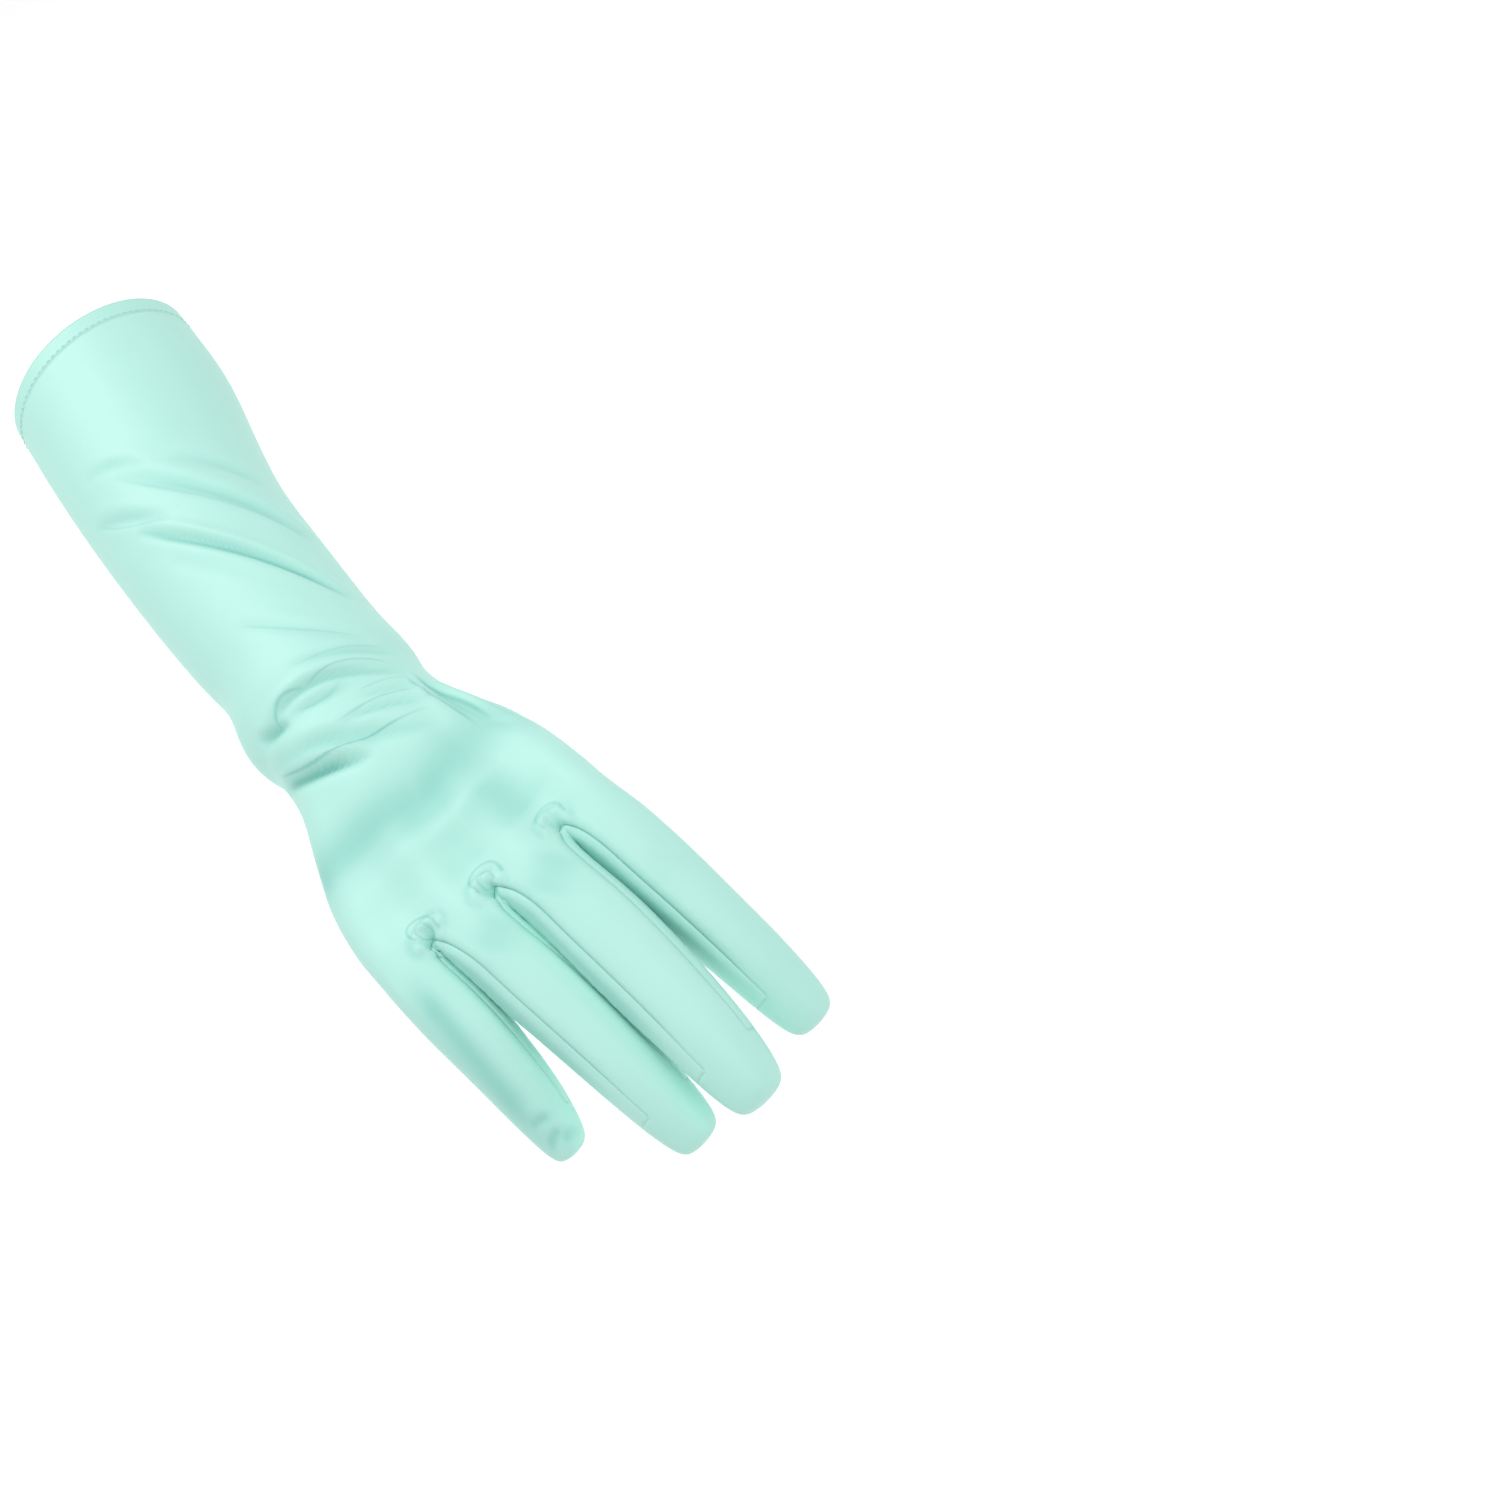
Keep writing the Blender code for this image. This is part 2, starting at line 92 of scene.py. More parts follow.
@dataclass(frozen=True)
class Section:
    """Cross-section of sleeve or palm: all but along are shares of the stretch's width."""

    along: float
    width: float
    depth: float
    across: float = 0.0
    lift: float = 0.0
    slant: float = 0.0
    skew: float = 0.0


@dataclass(frozen=True)
class FingerPlan:
    """Where a finger starts, as shares of the hand, its size, as shares of a finger's, and how it
    lies, in degrees.

    Belly and bow are how much wider it is half-way and how far it lies to the thumb side there, and
    taper how much narrower its tip is, as shares of its own width.
    """

    across: float
    ahead: float
    lift: float
    length: float
    width: float
    spread: float
    bend: float
    curl: float
    roll: float
    belly: float = 0.0
    bow: float = 0.0
    taper: float = 0.0


@dataclass(frozen=True)
class Ring:
    """Ring of a finger: shares of its length and width, and how far up its side the seam runs."""

    along: float
    width: float
    depth: float
    edge: float


@dataclass(frozen=True)
class Fork:
    """Where two fingers part: across and reach as shares of the hand's width and the palm's length."""

    across: float
    reach: float


@dataclass(frozen=True)
class ThumbJoint:
    """Middle of the thumb: shares of the hand's width and the palm's length, and of its own width."""

    across: float
    ahead: float
    up: float
    size: float


@dataclass(frozen=True)
class Fold:
    """A crease of the cloth, on a bow through three places, which also paints shade along its groove.

    Along is a share of the sleeve's length, around is in degrees from the thumb side over the back,
    depth and breadth are shares of the sleeve's width, and the two lips are how much of the depth
    the cloth stands up beside the crease, towards the hem and towards the hand.
    """

    along: float
    around: float
    along_mid: float
    around_mid: float
    along_end: float
    around_end: float
    depth: float
    breadth: float
    lip_hem: float = 0.4
    lip_hand: float = 0.2
    fade: float = 0.6


@dataclass(frozen=True)
class Crease:
    """A thin crisp line pressed into the cloth, too fine for its surface and so made in its finish,
    as a bump and a painted shade line.

    The places of its ends are as for a fold, sag is how far along the middle lies, its breadth is in
    millimetres and strength is from 0 to 1.
    """

    along: float
    around: float
    along_end: float
    around_end: float
    sag: float
    breadth: float
    strength: float

    def place(self, sizes: Measures, end: bool) -> Vector:
        """Where one end lies on the flat cloth.

        Args:
            sizes: the glove's sizes.
            end: whether it is the second end.

        Returns:
            The place in metres.
        """
        along, around = (self.along_end, self.around_end) if end else (self.along, self.around)
        around = math.radians(around)
        section = read_table(SLEEVE, min(along, 1.0))
        if along > 1.0:
            section = read_table(PALM, (along - 1.0) * sizes.sleeve_length / sizes.palm_length)
        turn = math.atan2(math.sin(around) / section.depth, math.cos(around) / section.width)
        return Vector((turn / (2 * math.pi) * sizes.girth, along * sizes.sleeve_length, 0.0))


@dataclass(frozen=True)
class Swell:
    """A soft rise of the cloth: place as for a fold, reach along and aside and height of the width."""

    along: float
    around: float
    reach_along: float
    reach_aside: float
    height: float
    turn: float = 0.0


@dataclass(frozen=True)
class HandMark:
    """A straight hollow or crease on the back of the hand or a finger.

    Across is a share of the hand's width and ahead of the palm's length, for both ends; depth,
    breadth and lip, how far the cloth stands up beside it, are in millimetres. Shade is how much
    shade it paints along its groove, from 0 to 1.
    """

    across: float
    ahead: float
    across_end: float
    ahead_end: float
    depth: float
    breadth: float
    lip: float = 0.0
    shade: float = 0.3


@dataclass(frozen=True)
class ForkLoop:
    """The puckered loop of cloth where two fingers part, with painted shade in its dimple and round its
    rim: place as for a mark, sizes in millimetres.
    """

    across: float
    ahead: float
    reach_across: float
    reach_ahead: float
    height: float
    dimple: float


@dataclass(frozen=True)
class Loop:
    """A crisp ring round the start of a gap, a bump and a painted shade line: all sizes in millimetres
    on the flat cloth.
    """

    across: float
    ahead: float
    radius: float
    breadth: float
    strength: float


@dataclass(frozen=True)
class Measures:
    """The sizes that the whole glove follows: lengths in metres, swing and rise in degrees."""

    sleeve_length: float = 0.215
    palm_length: float = 0.092
    sleeve_width: float = 0.070
    hand_width: float = 0.082
    finger_length: float = 0.086
    finger_width: float = 0.0200
    thumb_width: float = 0.0225
    cloth: float = 0.0012
    hem_depth: float = 0.0085
    hem_cloth: float = 0.0016
    hand_swing: float = 9.3
    hand_rise: float = 5.1
    girth: float = 0.203


# The sleeve's sections from the hem to the wrist, and the palm's from there to the fingers.
SLEEVE = (
    Section(0.00, 1.02, 0.84, -0.050, 0.0, -0.24, 0.14),
    Section(0.19, 1.02, 0.84, -0.050, 0.0, -0.10, 0.05),
    Section(0.37, 0.93, 0.79, -0.078),
    Section(0.50, 0.87, 0.76, -0.086),
    Section(0.65, 0.84, 0.73, -0.066),
    Section(0.79, 0.80, 0.70, -0.039),
    Section(0.86, 0.77, 0.68, -0.018),
    Section(0.95, 0.84, 0.71, -0.026),
    Section(1.00, 0.76, 0.64, 0.000),
)
PALM = (
    Section(0.00, 0.65, 0.46),
    Section(0.25, 0.67, 0.43, -0.015),
    Section(0.55, 0.88, 0.38, -0.005),
    Section(0.80, 0.98, 0.32),
    Section(1.00, 1.00, 0.26),
)
FINGERS = (
    # Index, middle, ring and little finger.
    FingerPlan(0.302, 0.965, -0.01, 0.965, 1.00, 2.0, 26, 10, 12),
    FingerPlan(0.046, 0.990, 0.00, 1.02, 1.08, -1.0, 17, 10, 6, 0.11, 0.06),
    FingerPlan(-0.222, 0.970, -0.01, 0.97, 0.94, 2.9, 24, 10, 7, 0.12, 0.03),
    FingerPlan(-0.452, 0.880, -0.04, 0.78, 0.84, -1.0, 24, 20, 4, 0.15, 0.08, 0.14),
)
# Rings from a finger's root to its tip.
RINGS = (
    Ring(0.12, 1.01, 0.98, 0.80),
    Ring(0.30, 1.01, 0.96, 0.80),
    Ring(0.48, 0.96, 0.93, 0.78),
    Ring(0.66, 0.92, 0.88, 0.74),
    Ring(0.82, 0.87, 0.82, 0.62),
    Ring(0.94, 0.78, 0.72, 0.50),
    Ring(1.00, 0.56, 0.50, 0.55),
)
# The forks between the fingers, and how far ahead and up their upper, middle and lower points lie,
# as shares of the palm's length and of the hand's width.
FORKS = (Fork(0.018, -0.030), Fork(-0.010, -0.036), Fork(-0.008, -0.030))
FORK_STEPS = (0.000, 0.100, 0.075)
FORK_LEVELS = (0.050, 0.020, -0.120)
# The thumb from its root to its tip.
THUMB = (
    ThumbJoint(0.354, 0.478, -0.256, 1.06),
    ThumbJoint(0.341, 0.652, -0.390, 1.02),
    ThumbJoint(0.293, 0.826, -0.500, 0.91),
    ThumbJoint(0.232, 0.967, -0.573, 0.59),
)
FOLDS = (
    # Each fold also paints shade along its groove.
    # Long slanting folds of the forearm.
    Fold(0.528, 122, 0.702, 72, 0.860, 28, 0.022, 0.029, 0.9, 0.3),
    Fold(0.405, 113, 0.575, 56, 0.700, 20, 0.016, 0.042, 0.8, 0.3),
    Fold(0.350, 132, 0.388, 107, 0.435, 88, 0.010, 0.032, 0.6, 0.2),
    Fold(0.420, 148, 0.500, 118, 0.565, 96, 0.012, 0.034, 0.6, 0.2),
    Fold(0.440, 74, 0.503, 44, 0.550, 26, 0.009, 0.042, 0.5, 0.2),
    Fold(0.620, 118, 0.690, 98, 0.760, 76, 0.005, 0.036, 0.5, 0.2),
    Fold(0.820, 110, 0.891, 80, 0.970, 40, 0.007, 0.036, 0.5, 0.2),
    # The wrist: arcs that fan out from the pocket, and the crease under the puff with its painted shadow.
    Fold(0.955, 96, 0.975, 60, 0.995, 28, 0.010, 0.026, 0.7, 0.3),
    Fold(0.994, 134, 0.998, 88, 1.035, 30, 0.017, 0.028, 0.8, 0.4),
    Fold(1.006, 124, 1.022, 98, 1.022, 70, 0.010, 0.036, 0.4, 0.3),
    Fold(1.052, 74, 1.058, 52, 1.068, 28, 0.007, 0.024, 0.7, 0.3),
    Fold(1.076, 104, 1.083, 66, 1.105, 26, 0.012, 0.026, 0.8, 0.3),
    Fold(1.024, 168, 1.105, 102, 1.155, 32, 0.014, 0.046, 1.0, 0.1),
    Fold(1.046, 174, 1.106, 140, 1.146, 104, 0.038, 0.036, 0.9, 0.0, 0.9),
    Fold(0.988, 151, 1.003, 138, 1.012, 125, 0.028, 0.034, 0.3, 0.2),
    # The rolled lip of cloth on the thumb side of the wrist, and the hollow across the hand with painted
    # shade in it.
    Fold(1.050, 24, 1.130, 23, 1.225, 15, 0.018, 0.024, 1.0, 0.6),
    Fold(1.175, 4, 1.236, 84, 1.240, 182, 0.026, 0.165, 0.0, 0.30, 0.50),
    # Under the arm and across the inner wrist.
    Fold(0.46, -40, 0.62, -90, 0.78, -140, 0.016, 0.042, 0.6, 0.3),
    Fold(0.66, -30, 0.80, -75, 0.92, -120, 0.012, 0.038, 0.5, 0.3),
    Fold(1.01, -25, 1.02, -85, 1.00, -150, 0.020, 0.032, 0.7, 0.4),
    Fold(1.08, -40, 1.075, -90, 1.05, -140, 0.012, 0.030, 0.6, 0.3),
)
CREASES = (
    # Each crease is a bump and a painted shade line in the finish.
    # Forearm.
    Crease(0.526, 122, 0.852, 29, 0.011, 1.10, 1.0),
    Crease(0.408, 113, 0.694, 21, 0.015, 0.70, 0.45),
    Crease(0.425, 146, 0.560, 97, 0.012, 0.45, 0.4),
    Crease(0.822, 110, 0.968, 42, 0.004, 0.45, 0.45),
    # Wrist arcs, from the pocket to the thumb side.
    Crease(0.960, 92, 0.992, 34, -0.002, 0.35, 0.45),
    Crease(1.006, 140, 0.997, 98, -0.020, 0.55, 0.9),
    Crease(0.997, 100, 1.032, 32, -0.014, 0.35, 0.7),
    Crease(1.012, 118, 1.024, 72, 0.010, 0.50, 0.5),
    Crease(1.054, 72, 1.067, 30, -0.003, 0.30, 0.5),
    Crease(1.078, 100, 1.100, 30, -0.006, 0.35, 0.8),
    # The crease under the puff, and the thick painted shadow under it at the little finger's side.
    Crease(1.022, 166, 1.146, 34, 0.022, 0.40, 1.0),
    Crease(1.044, 166, 1.128, 112, 0.000, 1.15, 0.8),
    # The two lines of the rolled lip.
    Crease(1.046, 25, 1.224, 17, 0.000, 0.80, 1.0),
    Crease(1.056, 32, 1.218, 24, 0.000, 0.60, 1.0),
)
SWELLS = (
    Swell(1.055, 122, 0.030, 0.18, 0.022, 12),
    Swell(0.985, 75, 0.030, 0.16, 0.010, 5),
    Swell(1.300, 90, 0.030, 0.50, 0.014, 6),
)
HAND_MARKS = (
    # Valleys between the knuckles and shallow hollows over the first joints, with painted shade.
    HandMark(0.165, 0.900, 0.095, 0.680, 0.50, 9.0, 0.0, 0.62),
    HandMark(-0.095, 0.900, -0.070, 0.700, 0.30, 7.0, 0.0, 0.32),
    HandMark(-0.300, 0.820, -0.230, 0.620, 0.20, 7.0, 0.0, 0.15),
    HandMark(0.130, 1.080, -0.020, 1.160, 0.45, 7.0, 0.0, 0.52),
    HandMark(-0.130, 1.080, -0.250, 1.140, 0.35, 6.0, 0.0, 0.45),
    HandMark(0.360, 1.250, 0.270, 1.340, 0.25, 4.5, 0.0, 0.12),
    # The hollow across the hand where it runs out to the little finger's side, with painted shade, and the
    # ridge beside it.
    HandMark(0.040, 0.572, -0.560, 0.440, 0.45, 8.0, 0.0, 0.90),
    HandMark(0.260, 0.713, -0.470, 0.672, -0.60, 5.5, 0.0, 0.0),
    # Painted shade along the turned side of the little finger, and small creases at its tip with painted
    # shade.
    HandMark(-0.476, 1.020, -0.515, 1.420, 0.15, 3.2, 0.0, 0.90),
    HandMark(-0.525, 1.405, -0.455, 1.425, 0.40, 1.0, 0.6, 0.8),
    HandMark(-0.530, 1.450, -0.460, 1.452, 0.40, 1.0, 0.6, 0.8),
    HandMark(-0.480, 1.470, -0.410, 1.462, 0.35, 1.0, 0.6, 0.7),
)
# Rings in the finish round the start of each gap, bumps with painted shade, the outer ones first.
LOOPS = (
    Loop(30.45, 305.4, 3.6, 0.35, 0.55),
    Loop(50.75, 305.4, 4.0, 0.35, 0.75),
    Loop(71.05, 305.0, 4.0, 0.35, 0.75),
    Loop(50.75, 305.8, 1.9, 0.30, 0.60),
    Loop(71.05, 305.4, 1.9, 0.30, 0.60),
)
# Loops of the cloth itself at the three gaps, from the thumb side, with painted shade in their dimples and
# round their rims.
FORK_LOOPS = (
    ForkLoop(0.188, 0.980, 3.3, 3.6, 1.25, 0.5),
    ForkLoop(-0.107, 0.985, 3.5, 3.8, 1.60, 0.7),
    ForkLoop(-0.337, 0.935, 3.8, 3.5, 1.60, 0.7),
)


def blend(low: float, high: float, at: float) -> float:
    """Share from 0 to 1, rising smoothly between low and high."""
    share = min(max((at - low) / (high - low), 0.0), 1.0)
    return share * share * (3.0 - 2.0 * share)


def read_table(table: tuple, at: float):
    """Row of a table at a place between its rows, on a smooth curve.

    Args:
        table: rows of one dataclass whose first field is `along`.
        at: the place along the table.

    Returns:
        A row of the same dataclass.
    """
    last = len(table) - 1
    step = next((i for i in range(last) if at <= table[i + 1].along), last - 1)
    rows = [table[min(max(step + i, 0), last)] for i in (-1, 0, 1, 2)]
    span = rows[2].along - rows[1].along
    share = min(max((at - rows[1].along) / span, 0.0), 1.0)
    values = []
    for before, start, end, after in zip(*(astuple(row) for row in rows)):
        lead = (end - before) * span / max(rows[2].along - rows[0].along, 1e-9)
        trail = (after - start) * span / max(rows[3].along - rows[1].along, 1e-9)
        values.append(
            start
            + share * lead
            + share**2 * (3 * (end - start) - 2 * lead - trail)
            + share**3 * (2 * (start - end) + lead + trail)
        )
    return type(table[0])(*values)


def plain_material(name: str) -> tuple[bpy.types.Material, Node]:
    """Make a new material with its plain shader.

    Args:
        name: its name.

    Returns:
        The material and its shader node.
    """
    material = bpy.data.materials.new(name)
    material.use_nodes = True
    return material, material.node_tree.nodes["Principled BSDF"]


def in_scene(name: str, data: bpy.types.ID | None) -> bpy.types.Object:
    """Make a new object in the scene.

    Args:
        name: its name.
        data: its mesh, light or camera.

    Returns:
        The object.
    """
    obj = bpy.data.objects.new(name, data)
    bpy.context.scene.collection.objects.link(obj)
    return obj


def from_bmesh(name: str, bm: Mesh) -> bpy.types.Object:
    """Make a new object in the scene from a bmesh, which is freed.

    Args:
        name: its name, and its mesh's.
        bm: the bmesh.

    Returns:
        The object.
    """
    mesh = bpy.data.meshes.new(name)
    bm.to_mesh(mesh)
    bm.free()
    return in_scene(name, mesh)


def unit(arrows: Array) -> Array:
    """The same directions, one a row, all of length 1."""
    return arrows / np.maximum(np.linalg.norm(arrows, axis=1, keepdims=True), 1e-12)


def hill(at: Array, width: float = 1.0, top: float = 0.0) -> Array:
    """1 at the top, and less and less over the width on both sides of it."""
    return np.exp(-(((at - top) / width) ** 2))


@dataclass
class ArmFrame:
    """Frames of the forearm and of the hand that is turned and raised at its end."""

    sizes: Measures

    def turn(self, share: float) -> Matrix:
        """Turn of the hand's frame, of which the wrist has made this share."""
        swing = Matrix.Rotation(math.radians(self.sizes.hand_swing * share), 3, "Z")
        return swing @ Matrix.Rotation(math.radians(-self.sizes.hand_rise * share), 3, "X")

    def wrist(self) -> Vector:
        """Middle of the wrist."""
        return Vector((0.0, -self.sizes.sleeve_length, 0.0))

    def in_hand(self, across: float, ahead: float, up: float) -> Vector:
        """Point of the hand, measured from the wrist."""
        return self.wrist() + self.turn(1.0) @ Vector((across, -ahead, up))


@dataclass
class GloveForm:
    """The whole glove as one open surface, first as a cage of quads and then rounded.

    Round is the number of points in a row, crowding how much closer the rows lie near the wrist,
    and the thumb's hole and side are the rows past the wrist and the points of them that it spans.
    Palm turn end is the share of the palm where the hand's frame is fully turned, and palm merge
    how late its rows take the fingers' shape. Base rise, outer edges, finger half and finger corner
    are in half or whole widths of a finger, and fork lean is how much a fork follows the finger
    that starts further ahead. Ring places, seam end and bend at base are shares of a finger, and
    the two tip shares say how far its flat cloth goes on over the tip, in sides of its last ring.
    """

    sizes: Measures
    arm: ArmFrame
    round: int = 20
    hem_rows: int = 1
    sleeve_rows: int = 16
    crowding: float = 1.3
    palm_rows: int = 7
    palm_turn_end: float = 0.12
    palm_merge: float = 1.2
    fork_rows: tuple[float, ...] = (0.90, 0.95)
    fork_lean: float = 0.75
    base_rise: float = 1.02
    outer_edges: tuple[tuple[float, float], ...] = ((0.80, 0.74), (1.06, 0.0), (0.80, -0.74))
    spine_steps: int = 40
    bend_at_base: float = 0.6
    ring_places: tuple[float, ...] = (0.12, 0.21, 0.30, 0.39, 0.48, 0.57, 0.66, 0.74, 0.82, 0.94, 1.0)
    seam_end: float = 0.82
    finger_half: float = 0.54
    finger_corner: float = 0.8
    tip_share: float = 0.3
    thumb_hole: tuple[int, int] = (1, 4)
    thumb_side: tuple[int, ...] = (16, 17, 18, 19)
    thumb_tip_share: float = 0.2
    levels: int = 3

    def oval(self, section: Section, size: float, index: int) -> tuple[float, float]:
        """One point round a section.

        Args:
            section: the section.
            size: the width that its shares are of.
            index: the point's number.

        Returns:
            How far across and how far up it lies.
        """
        angle = 2.0 * math.pi * index / self.round
        across = section.across + 0.5 * section.width * math.cos(angle)
        up = section.lift + 0.5 * section.depth * math.sin(angle)
        return across * size, up * size

    def sleeve_row(self, distance: float) -> list[Vector]:
        """One row of the sleeve's cage.

        Args:
            distance: how far it lies from the hem.

        Returns:
            Its points.
        """
        sizes = self.sizes
        section = read_table(SLEEVE, distance / sizes.sleeve_length)
        turn = self.arm.turn(0.5 * blend(0.9, 1.0, distance / sizes.sleeve_length))
        row = []
        for index in range(self.round):
            across, up = self.oval(section, sizes.sleeve_width, index)
            back = section.slant * up + section.skew * across
            row.append(Vector((0.0, -distance, 0.0)) + turn @ Vector((across, back, up)))
        return row

    def finger_base(self, plan: FingerPlan) -> tuple[float, float, float]:
        """Centre of a finger where it leaves the palm, as (across, ahead, up)."""
        palm = self.sizes.palm_length
        return plan.across * self.sizes.hand_width, plan.ahead * palm, plan.lift * palm

    def web_row(self) -> tuple[list, list]:
        """Last row of the palm, shared by the fingers, and the points between them.

        Returns:
            The row and the points between two fingers, in the hand's frame.
        """
        sizes = self.sizes
        row: list = [None] * self.round
        webs = []
        half = 0.5 * sizes.finger_width
        for number, plan in enumerate(FINGERS):
            across, ahead, up = self.finger_base(plan)
            top = 2 + 2 * number
            rise = half * plan.width * self.base_rise
            lean = rise * math.sin(math.radians(plan.roll))
            row[top] = (across + lean, ahead, up + rise)
            row[self.round - top] = (across - lean, ahead, up - rise)
        for number, fork in enumerate(FORKS):
            one, two = (self.finger_base(plan) for plan in FINGERS[number : number + 2])
            across = (one[0] + two[0]) / 2 + fork.across * sizes.hand_width
            ahead = self.fork_lean * max(one[1], two[1])
            ahead += (1.0 - self.fork_lean) * min(one[1], two[1])
            ahead += fork.reach * sizes.palm_length
            up = (one[2] + two[2]) / 2
            points = [
                (across, ahead + step * sizes.palm_length, up + level * sizes.hand_width)
                for step, level in zip(FORK_STEPS, FORK_LEVELS)
            ]
            row[3 + 2 * number] = points[0]
            webs.append(points[1])
            row[17 - 2 * number] = points[2]
        for number, side, edges in ((0, 1, (1, 0, 19)), (3, -1, (9, 10, 11))):
            across, ahead, up = self.finger_base(FINGERS[number])
            width = half * FINGERS[number].width
            for edge, (out, rise) in zip(edges, self.outer_edges):
                row[edge] = (across + side * out * width, ahead, up + rise * width)
        return row, webs

    def palm_row(self, share: float, web: list[tuple]) -> list[Vector]:
        """One row of the palm's cage.

        Args:
            share: how far it lies from the wrist to the fingers.
            web: the row where the fingers start.

        Returns:
            Its points.
        """
        sizes = self.sizes
        section = read_table(PALM, share)
        turned = self.arm.turn(0.5 + 0.5 * blend(0.0, self.palm_turn_end, share))
        merge = blend(0.0, 1.0, share) ** self.palm_merge
        row = []
        for index in range(self.round):
            across, up = self.oval(section, sizes.hand_width, index)
            reach = section.width + (1 - section.width) * (1.0 - 0.5 * merge)
            goal = web[index]
            across = across * (1 - merge) + goal[0] * merge * reach
            up = up * (1 - merge) + goal[2] * merge
            ahead = share * sizes.palm_length + merge * (goal[1] - sizes.palm_length)
            row.append(self.arm.wrist() + turned @ Vector((across, -ahead, up)))
        return row

    def finger_rings(self, plan: FingerPlan) -> list[list[Vector]]:
        """Rings of eight points along a finger, from its thumb-side upper edge over the back.

        Args:
            plan: the finger.

        Returns:
            The points of each ring.
        """
        length = plan.length * self.sizes.finger_length
        width = plan.width * self.sizes.finger_width
        centre = Vector(self.finger_base(plan))
        steps = self.spine_steps
        spine = [centre.copy()]
        for step in range(steps):
            share = (step + 0.5) / steps
            down = self.bend_at_base + (1.0 - self.bend_at_base) * blend(0.0, 0.2, share)
            down *= plan.bend
            down += plan.curl * (blend(0.25, 0.5, share) + 0.6 * blend(0.6, 0.8, share)) * 0.75
            spread, down = math.radians(plan.spread), math.radians(down)
            way = (math.sin(spread) * math.cos(down), math.cos(spread) * math.cos(down))
            centre = centre + Vector((*way, -math.sin(down))) * (length / steps)
            spine.append(centre.copy())
        rings = []
        for place in self.ring_places:
            ring = read_table(RINGS, place)
            at = place * steps
            low = min(int(at), steps - 1)
            swell, tip = math.sin(math.pi * ring.along), ring.along**3
            middle = spine[low].lerp(spine[low + 1], at - low)
            middle.x += (plan.bow * swell - 0.5 * plan.taper * tip) * width
            ahead = (spine[min(low + 3, steps)] - spine[max(low - 2, 0)]).normalized()
            side = ahead.cross(Vector((0, 0, 1))).normalized()
            over = side.cross(ahead).normalized()
            over = -over if over.z < 0 else over
            roll = math.radians(plan.roll)
            side, over = (
                side * math.cos(roll) - over * math.sin(roll),
                over * math.cos(roll) + side * math.sin(roll),
            )
            wider = 1.0 + plan.belly * swell - plan.taper * tip
            half = self.finger_half * width * ring.width * wider
            rise = self.finger_half * width * ring.depth
            edge, out = ring.edge, self.finger_corner
            outline = ((out, edge), (0, 1), (-out, edge), (-1, 0))
            outline += ((-out, -edge), (0, -1), (out, -edge), (1, 0))
            rings.append([middle + side * (a * half) + over * (b * rise) for a, b in outline])
        return [[self.arm.in_hand(*point) for point in ring] for ring in rings]

    def face(self, bm: Mesh, corners: list, spots: list, cut: int) -> None:
        """Add a quad, with its cut and its places on the flat cloth.

        Args:
            bm: the cage.
            corners: its four vertices.
            spots: its corners on the flat cloth, in metres.
            cut: the number of its piece.
        """
        made = bm.faces.new(corners)
        made.material_index = int(cut)
        layer = bm.loops.layers.uv.verify()
        for loop, spot in zip(made.loops, spots):
            loop[layer].uv = spot

    def strip(self, bm: Mesh, rows: tuple, heights: tuple, girth: float, cuts: list) -> None:
        """Quads between two closed rows of points.

        Args:
            bm: the cage.
            rows: the two rows of vertices.
            heights: where each row lies along the cloth, in metres.
            girth: how long a row is, in metres.
            cuts: a cut for each quad, or None where there is no quad.
        """
        first, second = rows
        count = len(first)
        for index, cut in enumerate(cuts):
            if cut is None:
                continue
            after = (index + 1) % count
            one, two = index / count * girth, (index + 1) / count * girth
            spots = [(one, heights[0]), (two, heights[0]), (two, heights[1]), (one, heights[1])]
            corners = [first[index], first[after], second[after], second[index]]
            self.face(bm, corners, spots, cut)

    def build_fingers(self, bm: Mesh, palm: list, webs: list) -> None:
        """The four fingers, each from eight points of the palm's last row and of the webs.

        Args:
            bm: the cage.
            palm: the vertices of the palm's last row.
            webs: the vertices between two fingers.
        """
        start = self.sizes.sleeve_length + self.sizes.palm_length
        reached = bm.verts.layers.float["reach"]
        for number, plan in enumerate(FINGERS):
            top = 2 + 2 * number
            low = self.round - top
            ring = [palm[top - 1], palm[top], palm[top + 1]]
            ring += [webs[number] if number < 3 else palm[10]]
            ring += [palm[low - 1], palm[low], palm[(low + 1) % self.round]]
            ring += [webs[number - 1] if number > 0 else palm[0]]
            near = FORK_CUTS[number - 1] if number > 0 else Cut.TRANK
            far = FORK_CUTS[number] if number < 3 else Cut.TRANK
            cuts = [Cut.TRANK, Cut.TRANK, far, far, Cut.TRANK, Cut.TRANK, near, near]
            length = plan.length * self.sizes.finger_length
            girth = math.pi * plan.width * self.sizes.finger_width
            height = start
            for place, outline in zip(self.ring_places, self.finger_rings(plan)):
                following = [bm.verts.new(point) for point in outline]
                for vert in following:
                    vert[reached] = place
                reach = start + place * length
                sewn = cuts if place <= self.seam_end else [Cut.TRANK] * 8
                self.strip(bm, (ring, following), (height, reach), girth, sewn)
                ring, height = following, reach
            spots = [(girth * k / 8, height + self.tip_share * girth / 8) for k in range(8)]
            self.face(bm, ring, spots, Cut.TRANK)

